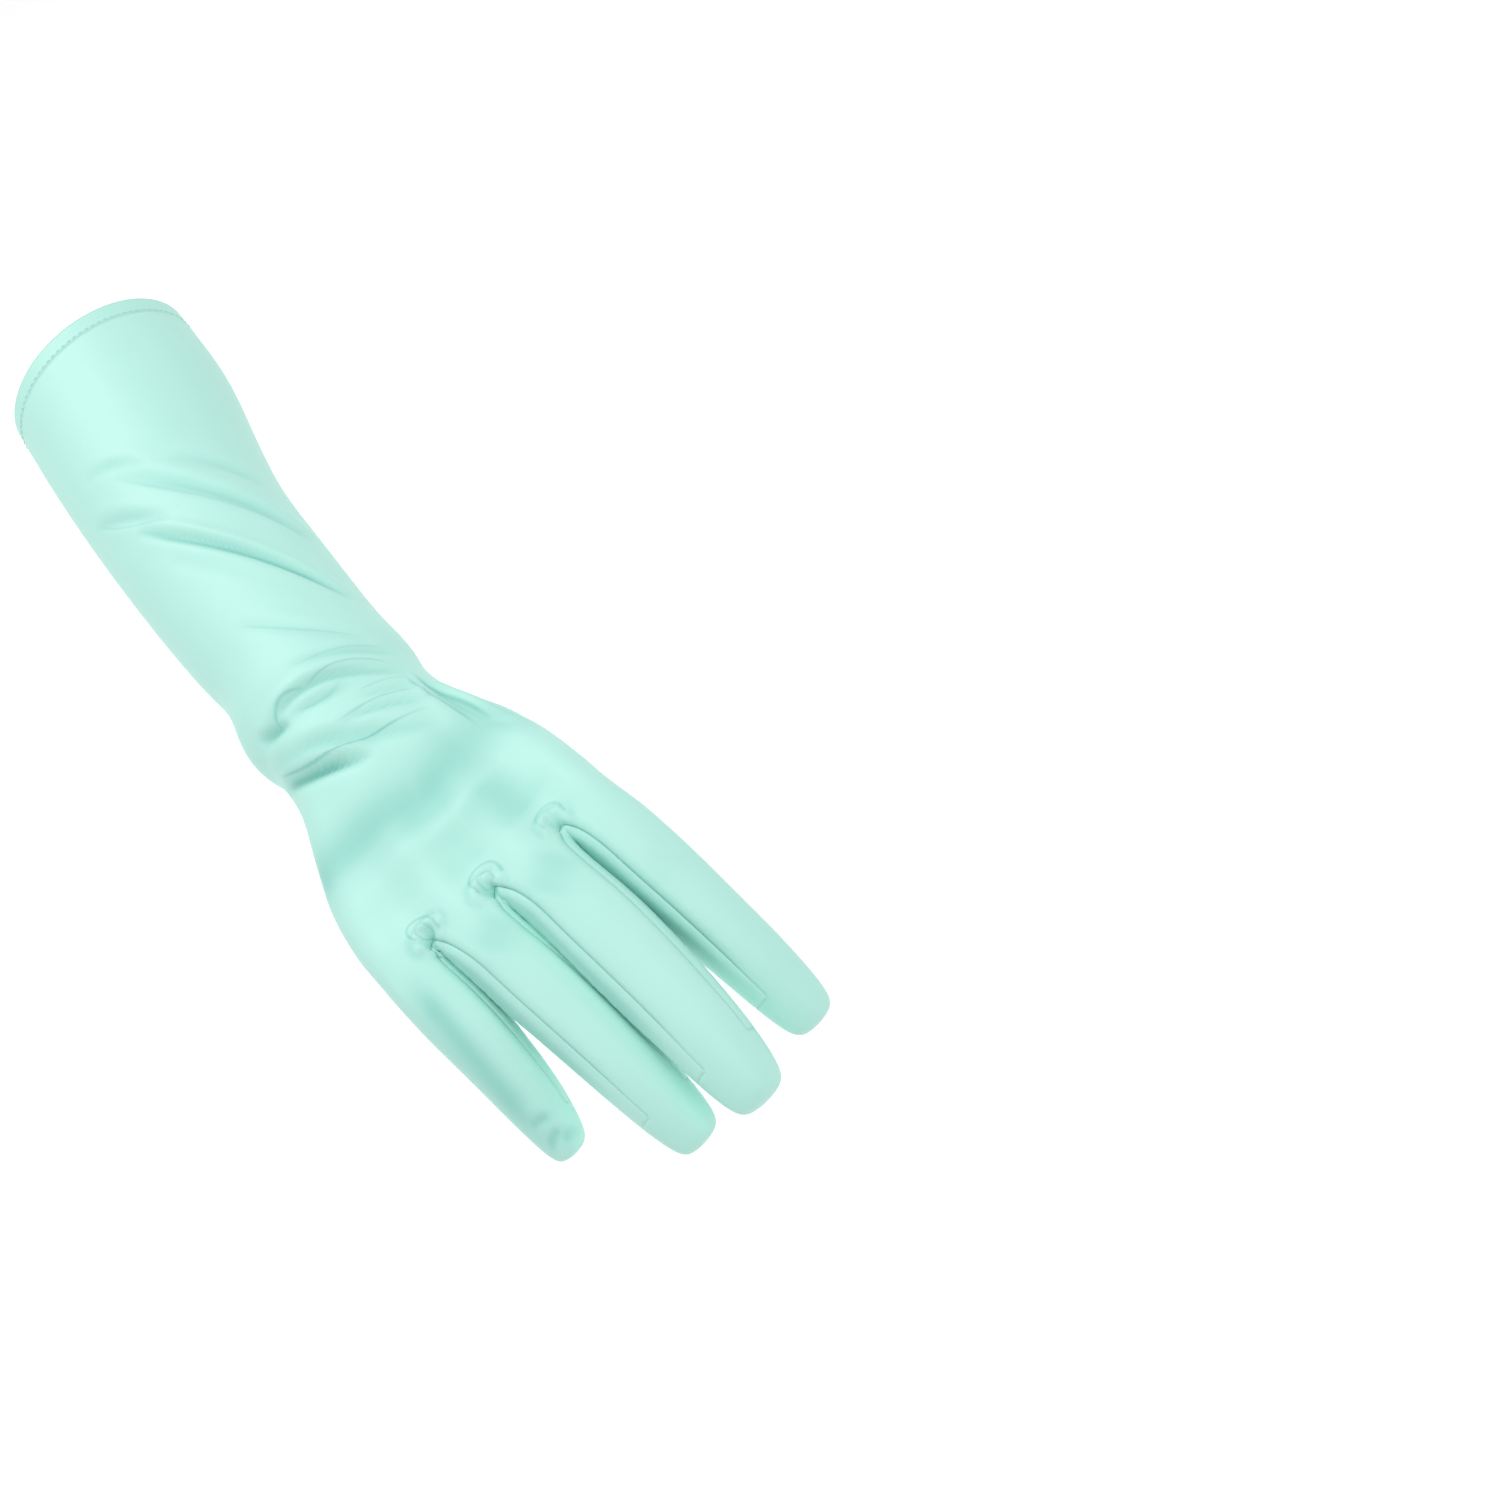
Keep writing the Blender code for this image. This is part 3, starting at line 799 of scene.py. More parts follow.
    def build_thumb(self, bm: Mesh, points: list, wrist: int) -> None:
        """The thumb, from the border of the hole in the palm's side.

        Args:
            bm: the cage.
            points: the vertices of each row of the sleeve and palm.
            wrist: the number of the wrist's row.
        """
        sizes = self.sizes
        side = self.thumb_side
        first, last = wrist + self.thumb_hole[0], wrist + self.thumb_hole[1]
        border = [points[first][i] for i in side]
        border += [points[row][side[-1]] for row in range(first + 1, last)]
        border += [points[last][i] for i in reversed(side)]
        border += [points[row][side[0]] for row in range(last - 1, first, -1)]
        count = len(border)
        centre = sum((vert.co for vert in border), Vector()) / count
        spine = [centre]
        for joint in THUMB:
            ahead = joint.ahead * sizes.palm_length
            across, up = joint.across * sizes.hand_width, joint.up * sizes.hand_width
            spine.append(self.arm.in_hand(across, ahead, up))
        ring = border
        height = sizes.sleeve_length
        girth = math.pi * sizes.thumb_width
        for step, joint in enumerate(THUMB):
            middle = spine[step + 1]
            way = (spine[min(step + 2, len(THUMB))] - spine[step]).normalized()
            flat = [vert.co - centre for vert in border]
            flat = [arm - way * arm.dot(way) for arm in flat]
            start = flat[0].normalized()
            across = way.cross(start)
            base = [math.atan2(arm.dot(across), arm.dot(start)) for arm in flat]
            sign = 1.0 if (base[1] - base[0]) % (2 * math.pi) < math.pi else -1.0
            half = 0.5 * sizes.thumb_width * joint.size
            following = []
            for index in range(count):
                even = sign * 2.0 * math.pi * index / count
                arm = start * math.cos(even) + across * math.sin(even)
                following.append(bm.verts.new(middle + arm * half))
            reach = height + (middle - spine[step]).length
            self.strip(bm, (ring, following), (height, reach), girth, [Cut.THUMB] * count)
            ring, height = following, reach
        tip = height + self.thumb_tip_share * girth / count
        spots = [(girth * k / count, tip) for k in range(count)]
        self.face(bm, ring, spots, Cut.THUMB)

    def build_cage(self, bm: Mesh) -> None:
        """Make every quad of the glove and give it to its piece.

        Args:
            bm: the cage, still empty.
        """
        sizes = self.sizes
        bm.verts.layers.float.new("reach")
        ahead = [sizes.hem_depth * step / self.hem_rows for step in range(self.hem_rows + 1)]
        for step in range(1, self.sleeve_rows + 1):
            share = 1.0 - (1.0 - step / self.sleeve_rows) ** self.crowding
            ahead.append(sizes.hem_depth + (sizes.sleeve_length - sizes.hem_depth) * share)
        rows = [self.sleeve_row(distance) for distance in ahead]
        wrist = len(rows) - 1
        web, webs = self.web_row()
        shares = [step / self.palm_rows for step in range(1, self.palm_rows)]
        shares = sorted(shares + list(self.fork_rows))
        rows += [self.palm_row(share, web) for share in shares]
        rows.append([self.arm.in_hand(*point) for point in web])
        ahead += [sizes.sleeve_length + sizes.palm_length * share for share in shares + [1.0]]
        points = [[bm.verts.new(point) for point in row] for row in rows]
        hole = range(wrist + self.thumb_hole[0], wrist + self.thumb_hole[1])
        girth = sizes.girth
        for number, pair in enumerate(zip(points, points[1:])):
            cuts: list = [Cut.HEM if number < self.hem_rows else Cut.TRANK] * self.round
            if number in hole:
                for index in self.thumb_side[:-1]:
                    cuts[index] = None
            self.strip(bm, pair, (ahead[number], ahead[number + 1]), girth, cuts)
        self.build_fingers(bm, points[-1], [bm.verts.new(self.arm.in_hand(*p)) for p in webs])
        self.build_thumb(bm, points, wrist)
        loose = [vert for vert in bm.verts if not vert.link_faces]
        bmesh.ops.delete(bm, geom=loose, context="VERTS")
        bmesh.ops.recalc_face_normals(bm, faces=bm.faces)

    def rounded(self) -> bpy.types.Mesh:
        """Subdivide the cage.

        Returns:
            The rounded glove, as a mesh of its own.
        """
        bm = bmesh.new()
        self.build_cage(bm)
        cage = from_bmesh("glove_cage", bm)
        for _ in Cut:
            cage.data.materials.append(None)
        soft = cage.modifiers.new("rounding", "SUBSURF")
        soft.levels = soft.render_levels = self.levels
        graph = bpy.context.evaluated_depsgraph_get()
        made = bpy.data.meshes.new_from_object(cage.evaluated_get(graph), depsgraph=graph)
        bpy.data.objects.remove(cage, do_unlink=True)
        return made


@dataclass
class Surface:
    """Points, quads, cuts and flat places of the rounded glove, as arrays.

    Reach is how far along its finger each point lies, and 0 on the palm and sleeve. Hold is how
    strongly the nearest seam draws a point in, and inset how far away that seam is.
    """

    points: Array
    quads: Array
    cuts: Array
    spots: Array
    reach: Array
    hold: Array = field(init=False)
    inset: Array = field(init=False)

    @classmethod
    def of(cls, mesh: bpy.types.Mesh) -> Surface:
        """Read the arrays of a mesh of quads.

        Args:
            mesh: the mesh, with each piece's number as its material.

        Returns:
            The surface.
        """

        def read(rows: bpy.types.bpy_prop_collection, title: str, *shape: int, kind: type = float) -> Array:
            """One value of each row, in an array of a shape."""
            values = np.empty(len(rows) * math.prod(shape[1:]), kind)
            rows.foreach_get(title, values)
            return values.reshape(shape)

        return cls(
            read(mesh.vertices, "co", -1, 3),
            read(mesh.loops, "vertex_index", -1, kind=np.int32).reshape(-1, 4),
            read(mesh.polygons, "material_index", -1, kind=np.int32),
            read(mesh.uv_layers[0].data, "uv", -1, 2).reshape(-1, 4, 2),
            read(mesh.attributes["reach"].data, "value", -1),
        )

    def normals(self) -> Array:
        """The cloth's direction outwards.

        Returns:
            The unit normal at each point.
        """
        corner = self.points[self.quads]
        face = np.cross(corner[:, 2] - corner[:, 0], corner[:, 3] - corner[:, 1])
        total = np.zeros_like(self.points)
        for index in range(4):
            np.add.at(total, self.quads[:, index], face)
        return unit(total)


@dataclass
class Drape:
    """Presses folds into the surface, raises it beside them and paints shade along them.

    Hand start is where the sleeve's folds end, as a share of its length, and a fold of the dark
    depth or more, a share of the sleeve's width, gets the full painted shade.
    """

    sizes: Measures
    hand_start: float = 1.45
    bow_steps: int = 16
    dark_depth: float = 0.022

    def unroll(self, points: Array) -> tuple[Array, Array, Array]:
        """Where points of the sleeve or palm lie.

        Args:
            points: the places, one a row.

        Returns:
            The share along the sleeve, the degrees around its middle and the distance from it.
        """
        sizes = self.sizes
        along = -points[:, 1] / sizes.sleeve_length
        past = np.maximum(-points[:, 1] - sizes.sleeve_length, 0.0)
        stations = np.linspace(0.0, 1.0, 101)
        middles = [read_table(SLEEVE, at).across * sizes.sleeve_width for at in stations]
        side = points[:, 0] - np.interp(along, stations, middles)
        side = side - past * math.tan(math.radians(sizes.hand_swing))
        up = points[:, 2] - past * math.tan(math.radians(sizes.hand_rise))
        return along, np.degrees(np.arctan2(up, side)), np.hypot(side, up)

    def arc(self, degrees: Array, radius: Array) -> Array:
        """Length of the shorter way round by an angle, with its sign."""
        return np.radians((degrees + 180) % 360 - 180) * radius

    def crease(self, fold: Fold, along: Array, around: Array, radius: Array) -> tuple[Array, Array]:
        """How far one fold moves the cloth outwards, and how much painted shade it lays on it.

        Args:
            fold: the fold.
            along: shares along the sleeve.
            around: degrees around it.
            radius: distances from its middle.

        Returns:
            The move in metres and the painted shade from 0 to 1.
        """
        share = np.linspace(0.0, 1.0, self.bow_steps + 1)
        wide = self.sizes.sleeve_width

        def bow(start: float, middle: float, end: float) -> Array:
            """Places on the parabola through three values.

            Args:
                start: its first value.
                middle: its value half-way.
                end: its last value.

            Returns:
                A value for each share.
            """
            return (
                start * (1 - share) * (1 - 2 * share)
                + 4 * middle * share * (1 - share)
                + end * share * (2 * share - 1)
            )

        at = bow(fold.along, fold.along_mid, fold.along_end) * self.sizes.sleeve_length
        turned = bow(fold.around, fold.around_mid, fold.around_end)
        place = along * self.sizes.sleeve_length
        near = np.full(len(along), 1e9)
        where = np.zeros(len(along))
        side = np.zeros(len(along))
        for step in range(self.bow_steps):
            way_ahead = at[step + 1] - at[step]
            way_aside = math.radians(turned[step + 1] - turned[step]) * radius
            ahead = place - at[step]
            aside = self.arc(around - turned[step], radius)
            part = (ahead * way_ahead + aside * way_aside) / (way_ahead**2 + way_aside**2)
            part = np.clip(part, 0.0, 1.0)
            gap = np.hypot(ahead - part * way_ahead, aside - part * way_aside)
            closer = gap < near
            near[closer] = gap[closer]
            where[closer] = ((step + part) / self.bow_steps)[closer]
            side[closer] = (way_ahead * aside - way_aside * ahead)[closer]
        offset = near / (fold.breadth * wide)
        fade = np.sin(np.pi * np.clip(where, 0.0, 1.0)) ** fold.fade
        groove = 0.6 * hill(offset) + 0.4 * hill(offset, 0.5)
        lip = np.where(side < 0, fold.lip_hem, fold.lip_hand)
        ridge = hill(offset, 0.9, 1.75) * np.minimum(offset, 1.0)
        # Painted shade along the fold's groove.
        dark = fade * hill(offset, 0.75) * min(fold.depth / self.dark_depth, 1.0)
        return fold.depth * wide * fade * (lip * ridge - groove), dark

    def swell(self, rise: Swell, along: Array, around: Array, radius: Array) -> Array:
        """How far one soft rise lifts the cloth.

        Args:
            rise: the rise.
            along: shares along the sleeve.
            around: degrees around it.
            radius: distances from its middle.

        Returns:
            The move in metres.
        """
        ahead = (along - rise.along) * self.sizes.sleeve_length
        aside = self.arc(around - rise.around, radius)
        turn = math.radians(rise.turn)
        one = ahead * math.cos(turn) + aside * math.sin(turn)
        two = aside * math.cos(turn) - ahead * math.sin(turn)
        wide = self.sizes.sleeve_width
        length = rise.reach_along * self.sizes.sleeve_length
        reach = (one / length) ** 2 + (two / (rise.reach_aside * wide)) ** 2
        return rise.height * wide * np.exp(-reach)

    def press(self, surface: Surface) -> Array:
        """Move the surface into its folds.

        Args:
            surface: the glove's surface, whose points are moved.

        Returns:
            How much painted shade each point gets, from 0 to 1.
        """
        along, around, radius = self.unroll(surface.points)
        normals = surface.normals()
        sleeve = along < self.hand_start
        move = np.zeros(len(along))
        shade = np.zeros(len(along))
        for fold in FOLDS:
            step, dark = self.crease(fold, along[sleeve], around[sleeve], radius[sleeve])
            move[sleeve] += step
            shade[sleeve] = np.maximum(shade[sleeve], dark)
        for rise in SWELLS:
            move[sleeve] += self.swell(rise, along[sleeve], around[sleeve], radius[sleeve])
        hand, dark = self.mark_hand(surface.points, normals)
        surface.points += normals * (move + hand)[:, None]
        return np.maximum(shade, dark)

    def mark_hand(self, points: Array, normals: Array) -> tuple[Array, Array]:
        """How far the marks and loops of the hand move its cloth outwards, and the shade they paint on it.

        Args:
            points: the places, one a row.
            normals: the cloth's normals there.

        Returns:
            The moves in metres and the painted shades from 0 to 1.
        """
        sizes = self.sizes
        arm = ArmFrame(sizes)
        turn = np.array(arm.turn(1.0))
        inside = (points - np.array(arm.wrist())) @ turn
        across, ahead = inside[:, 0] * 1000, -inside[:, 1] * 1000
        facing = np.clip((normals @ turn[:, 2] - 0.1) / 0.4, 0.0, 1.0)
        wide, long = sizes.hand_width * 1000, sizes.palm_length * 1000
        move, shade = np.zeros(len(points)), np.zeros(len(points))
        for mark in HAND_MARKS:
            start = np.array((mark.across * wide, mark.ahead * long))
            way = np.array((mark.across_end * wide, mark.ahead_end * long)) - start
            one, two = across - start[0], ahead - start[1]
            part = np.clip((one * way[0] + two * way[1]) / (way @ way), 0.0, 1.0)
            offset = np.hypot(one - part * way[0], two - part * way[1]) / mark.breadth
            groove, ridge = hill(offset), mark.lip * hill(offset, 0.8, 1.7)
            ends = facing * np.clip(0.3 + 4.0 * np.minimum(part, 1.0 - part), 0.0, 1.0)
            move += ends * mark.depth * (ridge - groove)
            # Painted shade along the mark's groove.
            shade = np.maximum(shade, ends * mark.shade * groove)
        for loop in FORK_LOOPS:
            one = (across - loop.across * wide) / loop.reach_across
            two = (ahead - loop.ahead * long) / loop.reach_ahead
            away = np.hypot(one, two)
            closed = np.clip(1.1 - 0.7 * two, 0.15, 1.0)
            pucker = 1.0 + 0.22 * np.sin(7.0 * np.arctan2(two, one))
            dimple = hill(away, 0.5)
            move += facing * loop.height * closed * pucker * hill(away, 0.32, 1.0)
            move -= facing * loop.dimple * dimple
            # Painted shade in the loop's dimple and round its rim.
            rim = 0.6 * closed * hill(away, 0.25, 1.6)
            shade = np.maximum(shade, facing * (dimple + rim))
        return move / 1000, shade


@dataclass(frozen=True)
class Seams:
    """How the pieces meet: each edge rolls inwards and puckers along the stitches.

    Lengths are in metres. The hem's seam and the fingers' seams past the fade, two shares of the
    finger's length, draw the cloth in by their own smaller shares.
    """

    gap: float = 0.00010
    pull: float = 0.00032
    reach: float = 0.0009
    welt: float = 0.00022
    welt_at: float = 0.0022
    pucker: float = 0.00007
    stitch: float = 0.0052
    hem_share: float = 0.25
    end_share: float = 0.1
    fade: tuple[float, float] = (0.60, 0.78)

    def draw_in(self, surface: Surface) -> Array:
        """Pull the cloth in along each seam and raise it in a welt beside it.

        Args:
            surface: the glove's surface, whose points are moved.

        Returns:
            How close each point lies to a seam, from 0 to 1: the mask of the painted shade in its groove.
        """
        touching: dict[tuple[int, int], set] = {}
        for quad, cut in zip(surface.quads.tolist(), surface.cuts.tolist()):
            for start, end in zip(quad, quad[1:] + quad[:1]):
                touching.setdefault((min(start, end), max(start, end)), set()).add(cut)
        strength: dict[int, float] = {}
        for edge, cuts in touching.items():
            if len(cuts) > 1:
                for index in edge:
                    fade = blend(*self.fade, surface.reach[index]) * (1.0 - self.end_share)
                    strength[index] = self.hem_share if Cut.HEM in cuts else 1.0 - fade
        seam = sorted(strength)
        tree = KDTree(len(seam))
        for number, index in enumerate(seam):
            tree.insert(surface.points[index], number)
        tree.balance()
        found = [tree.find(point) for point in surface.points]
        near = np.array([distance for _, _, distance in found])
        share = np.array([strength[seam[number]] for _, number, _ in found])
        surface.hold, surface.inset = share, near
        place = surface.points @ np.array((1.0, 1.4, 0.8)) * 2 * math.pi / self.stitch
        wave = np.sin(place + 1.3 * np.sin(place * 0.37))
        close = hill(near, self.reach)
        beside = hill(near, 0.5 * self.welt_at, self.welt_at)
        rise = share * (beside * (self.welt + self.pucker * wave) - close * self.pull)
        surface.points += surface.normals() * rise[:, None]
        # The mask of the painted shade along each seam's groove.
        return close * share


@dataclass
class ClothPiece:
    """One piece of the glove, cut from the surface and given its thickness.

    Flat is the size of the cut cloth before it is sewn, and area its area, in square metres. The
    rim is how many steps its edge is rounded in and how far it bulges, as a share of the thickness.
    """

    name: str
    cut: Cut
    sizes: Measures
    seams: Seams
    flat: tuple[float, float]
    area: float
    rim_steps: int = 3
    rim_bulge: float = 0.08

    def thickness(self) -> float:
        """Thickness of this piece's cloth."""
        return self.sizes.hem_cloth if self.cut == Cut.HEM else self.sizes.cloth

    def build(self, surface: Surface, shades: dict[str, Array]) -> bpy.types.Object:
        """The piece as a mesh object.

        Args:
            surface: the whole glove's surface.
            shades: the painted shade masks of each point to keep, by name.

        Returns:
            The object, in the scene.
        """
        mine = surface.cuts == self.cut
        quads, spots = surface.quads[mine], surface.spots[mine]
        used, flat_index = np.unique(quads, return_inverse=True)
        quads = flat_index.reshape(-1, 4)
        points = surface.points[used].copy()
        normals = surface.normals()[used]
        edges = {}
        for row, quad in enumerate(quads.tolist()):
            for side in range(4):
                edges[(quad[side], quad[(side + 1) % 4])] = (row, side)
        rim = [(pair, spot) for pair, spot in edges.items() if pair[::-1] not in edges]
        inwards = self.inward(points, normals, quads, rim)
        points += inwards * (self.seams.gap * surface.hold[used])[:, None]
        depth = self.thickness()
        inner = points - normals * depth
        count = len(points)
        layers = [points, inner]
        faces = quads.tolist() + (quads[:, ::-1] + count).tolist()
        places = np.concatenate([spots, spots[:, ::-1]])
        border = sorted({index for (pair, _) in rim for index in pair})
        order = {index: number for number, index in enumerate(border)}
        inner_steps = [2 * count + step * len(border) for step in range(self.rim_steps - 1)]
        for step in range(1, self.rim_steps):
            angle = math.pi * step / self.rim_steps
            level = 0.5 * depth * (1 - math.cos(angle))
            out = self.rim_bulge * depth * math.sin(angle)
            layers.append(points[border] - normals[border] * level - inwards[border] * out)
        rim_spots = []
        for (start, end), (row, side) in rim:
            one, two = (
                [index, *(first + order[index] for first in inner_steps), index + count]
                for index in (start, end)
            )
            spot_start, spot_end = spots[row, side], spots[row, (side + 1) % 4]
            for step in range(self.rim_steps):
                faces.append([two[step], one[step], one[step + 1], two[step + 1]])
                rim_spots.append([spot_end, spot_start, spot_start, spot_end])
        places = np.concatenate([places, np.array(rim_spots).reshape(-1, 4, 2)])
        mesh = bpy.data.meshes.new(self.name)
        mesh.from_pydata(np.concatenate(layers).tolist(), [], faces)
        layer = mesh.uv_layers.new(name="cloth")
        layer.data.foreach_set("uv", places.ravel())
        mesh.shade_smooth()
        for name, values in shades.items():
            own = values[used]
            whole = np.concatenate([own, own] + [own[border]] * (self.rim_steps - 1))
            mesh.attributes.new(name, "FLOAT", "POINT").data.foreach_set("value", whole)
        mesh.update()
        return in_scene(self.name, mesh)

    def inward(self, points: Array, normals: Array, quads: Array, rim: list) -> Array:
        """Unit direction from the border into the piece, at each border point.

        Args:
            points: the piece's points.
            normals: their normals.
            quads: the piece's quads.
            rim: its border edges.

        Returns:
            A direction for each point, zero away from the border.
        """
        border = {index for (pair, _) in rim for index in pair}
        pull = np.zeros_like(points)
        along = np.zeros_like(points)
        centres = points[quads].mean(axis=1)
        for corner in range(4):
            np.add.at(pull, quads[:, corner], centres - points[quads[:, corner]])
        for (start, end), _ in rim:
            way = points[end] - points[start]
            way = way / max(np.linalg.norm(way), 1e-12)
            along[start] += way
            along[end] += way
        along = unit(along)
        pull -= along * (pull * along).sum(axis=1, keepdims=True)
        pull -= normals * (pull * normals).sum(axis=1, keepdims=True)
        pull = unit(pull)
        pull[np.setdiff1d(np.arange(len(points)), sorted(border))] = 0.0
        return pull


@dataclass(frozen=True)
class HemStitches:
    """A row of small machine stitches that holds the turned hem.

    Rings are where a stitch's thickness changes: shares of its length and of its thickness.
    """

    count: int = 84
    length: float = 0.0016
    thickness: float = 0.00030
    inset: float = 0.0011
    sides: int = 6
    lift: float = 0.3
    rings: tuple[tuple[float, float], ...] = ((0.0, 0.35), (0.2, 1.0), (0.8, 1.0), (1.0, 0.35))

    def ring(self, surface: Surface) -> tuple[Array, Array]:
        """The closed line where hem and trank meet.

        Args:
            surface: the glove's surface.

        Returns:
            Its points, the first again at the end, and how far along it each lies.
        """
        hem, trank = (set(surface.quads[surface.cuts == cut].ravel()) for cut in (Cut.HEM, Cut.TRANK))
        line = surface.points[sorted(hem & trank)]
        middle = line.mean(axis=0)
        line = line[np.argsort(np.arctan2(line[:, 2] - middle[2], line[:, 0] - middle[0]))]
        line = np.vstack([line, line[:1]])
        steps = np.linalg.norm(np.diff(line, axis=0), axis=1)
        return line, np.concatenate([[0.0], np.cumsum(steps)])

    def thread(self, bm: Mesh, start: Vector, end: Vector, up: Vector) -> None:
        """Add one stitch, a short rounded length of thread.

        Args:
            bm: the row of stitches.
            start: where it begins.
            end: where it ends.
            up: the cloth's direction outwards.
        """
        way = (end - start).normalized()
        side = way.cross(up).normalized()
        rows = []
        for share, size in self.rings:
            middle = start.lerp(end, share) + up * (self.lift * self.thickness * size)
            row = []
            for step in range(self.sides):
                angle = 2 * math.pi * step / self.sides
                arm = side * math.cos(angle) + up * math.sin(angle)
                row.append(bm.verts.new(middle + arm * (0.5 * self.thickness * size)))
            rows.append(row)
        for one, two in zip(rows, rows[1:]):
            for step in range(self.sides):
                after = (step + 1) % self.sides
                bm.faces.new((one[step], one[after], two[after], two[step]))
        bm.faces.new(rows[0][::-1])
        bm.faces.new(rows[-1])

    def build(self, surface: Surface, hem: bpy.types.Object) -> bpy.types.Object:
        """The row of stitches, lying on the hem.

        Args:
            surface: the glove's surface.
            hem: the hem's object.

        Returns:
            The object, in the scene.
        """
        line, along = self.ring(surface)
        tree = BVHTree.FromObject(hem, bpy.context.evaluated_depsgraph_get())
        bm = bmesh.new()
        for number in range(self.count):
            ends = []
            for shift in (-0.5, 0.5):
                at = (number / self.count * along[-1] + shift * self.length) % along[-1]
                point = Vector([np.interp(at, along, line[:, axis]) for axis in range(3)])
                point.y += self.inset
                place, up, _, _ = tree.find_nearest(point)
                ends.append(place)
            self.thread(bm, ends[0], ends[1], up)
        bmesh.ops.recalc_face_normals(bm, faces=bm.faces)
        stitches = from_bmesh("hem_stitches", bm)
        stitches.data.shade_smooth()
        return stitches


@dataclass(frozen=True)
class ThreadFinish:
    """Plain sewing thread, dyed like the satin."""

    name: str = "sewing_thread"
    tone: Tone = Tone.THREAD

    def build(self) -> bpy.types.Material:
        """Make the material.

        Returns:
            The material.
        """
        material, shader = plain_material(self.name)
        shader.inputs["Base Color"].default_value = self.tone.value
        shader.inputs["Roughness"].default_value = 0.8
        shader.inputs["Specular IOR Level"].default_value = 0.2
        return material


@dataclass
class Wiring:
    """A node tree that is being wired: most methods add a node and give its result."""

    tree: bpy.types.NodeTree

    @classmethod
    def group(cls, name: str, taken: dict[str, str], given: dict[str, str]) -> Wiring:
        """Start a new node group.

        Args:
            name: its name.
            taken: the kind of each input socket, by name.
            given: the kind of each output socket, by name.

        Returns:
            The group's wiring.
        """
        tree = bpy.data.node_groups.new(name, "ShaderNodeTree")
        for side, sockets in (("INPUT", taken), ("OUTPUT", given)):
            for title, kind in sockets.items():
                tree.interface.new_socket(title, in_out=side, socket_type=f"NodeSocket{kind}")
        return cls(tree)

    def taken(self) -> bpy.types.bpy_prop_collection:
        """What the group is given by its user."""
        return self.tree.nodes.new("NodeGroupInput").outputs

    def give(self, **results: Socket) -> bpy.types.NodeTree:
        """Finish the group.

        Args:
            results: what it gives its user, by name.

        Returns:
            The group.
        """
        ends = self.tree.nodes.new("NodeGroupOutput").inputs
        for title, result in results.items():
            self.feed(ends[title], result)
        return self.tree

    def add(self, kind: str, **settings: object) -> Node:
        """Add a node.

        Args:
            kind: its kind.
            settings: its settings, by name.

        Returns:
            The node.
        """
        node = self.tree.nodes.new("ShaderNode" + kind)
        for title, value in settings.items():
            setattr(node, title, value)
        return node

    def feed(self, socket: Socket, value: object) -> None:
        """Set what a socket is given.

        Args:
            socket: the socket.
            value: another socket to link to it, or a constant.
        """
        if isinstance(value, Socket):
            self.tree.links.new(value, socket)
        else:
            socket.default_value = value

    def math(self, kind: str, *values: Socket | float, clamp: bool = False) -> Socket:
        """Add a sum on numbers.

        Args:
            kind: its kind.
            values: the sockets and constants.
            clamp: whether the result is kept from 0 to 1.

        Returns:
            The result.
        """
        node = self.add("Math", operation=kind, use_clamp=clamp)
        for socket, value in zip(node.inputs, values):
            self.feed(socket, value)
        return node.outputs["Value"]

    def vector(self, kind: str, one: Socket, two: Socket, result: str = "Value") -> Socket:
        """Add a sum on two vectors.

        Args:
            kind: its kind.
            one: the first.
            two: the second.
            result: which of its results is wanted, Value or Vector.

        Returns:
            The result.
        """
        node = self.add("VectorMath", operation=kind)
        self.feed(node.inputs[0], one)
        self.feed(node.inputs[1], two)
        return node.outputs[result]

    def bell(self, away: Socket) -> Socket:
        """1 where the value is 0, and less and less away from it."""
        return self.math("EXPONENT", self.math("MULTIPLY", self.math("MULTIPLY", away, away), -1.0))

    def noise(self, place: Socket, scale: float, detail: float) -> Socket:
        """Add soft noise.

        Args:
            place: where it is read.
            scale: its repeats a metre.
            detail: how many finer layers it has.

        Returns:
            A value from about 0 to 1.
        """
        node = self.add("TexNoise")
        self.feed(node.inputs["Vector"], place)
        self.feed(node.inputs["Scale"], scale)
        self.feed(node.inputs["Detail"], detail)
        return node.outputs["Fac"]


@dataclass(frozen=True)
class CreaseGroup:
    """Node group of one crisp crease: 1 on its bowed line and 0 away from it.

    It fades over a share of its length at each end, and steepness is 1 over that share.
    """

    name: str = "crease_line"
    steepness: float = 5.0

    def build(self) -> bpy.types.NodeTree:
        """Wire the group.

        Returns:
            Its node tree.
        """
        wires = Wiring.group(
            self.name,
            dict.fromkeys(("Place", "Start", "Way", "Side"), "Vector")
            | dict.fromkeys(("Sag", "Breadth", "Strength"), "Float"),
            {"Line": "Float"},
        )
        taken, number = wires.taken(), wires.math
        arm = wires.vector("SUBTRACT", taken["Place"], taken["Start"], "Vector")
        ahead = wires.vector("DOT_PRODUCT", arm, taken["Way"])
        aside = wires.vector("DOT_PRODUCT", arm, taken["Side"])
        rest = number("SUBTRACT", 1.0, ahead)
        bow = number("MULTIPLY", number("MULTIPLY", ahead, rest), taken["Sag"])
        away = number("DIVIDE", number("SUBTRACT", aside, bow), taken["Breadth"])
        near_end = number("MULTIPLY", number("MINIMUM", ahead, rest), self.steepness)
        window = number("MAXIMUM", number("MINIMUM", near_end, 1.0), 0.0)
        line = number("MULTIPLY", wires.bell(away), window)
        return wires.give(Line=number("MULTIPLY", line, taken["Strength"]))


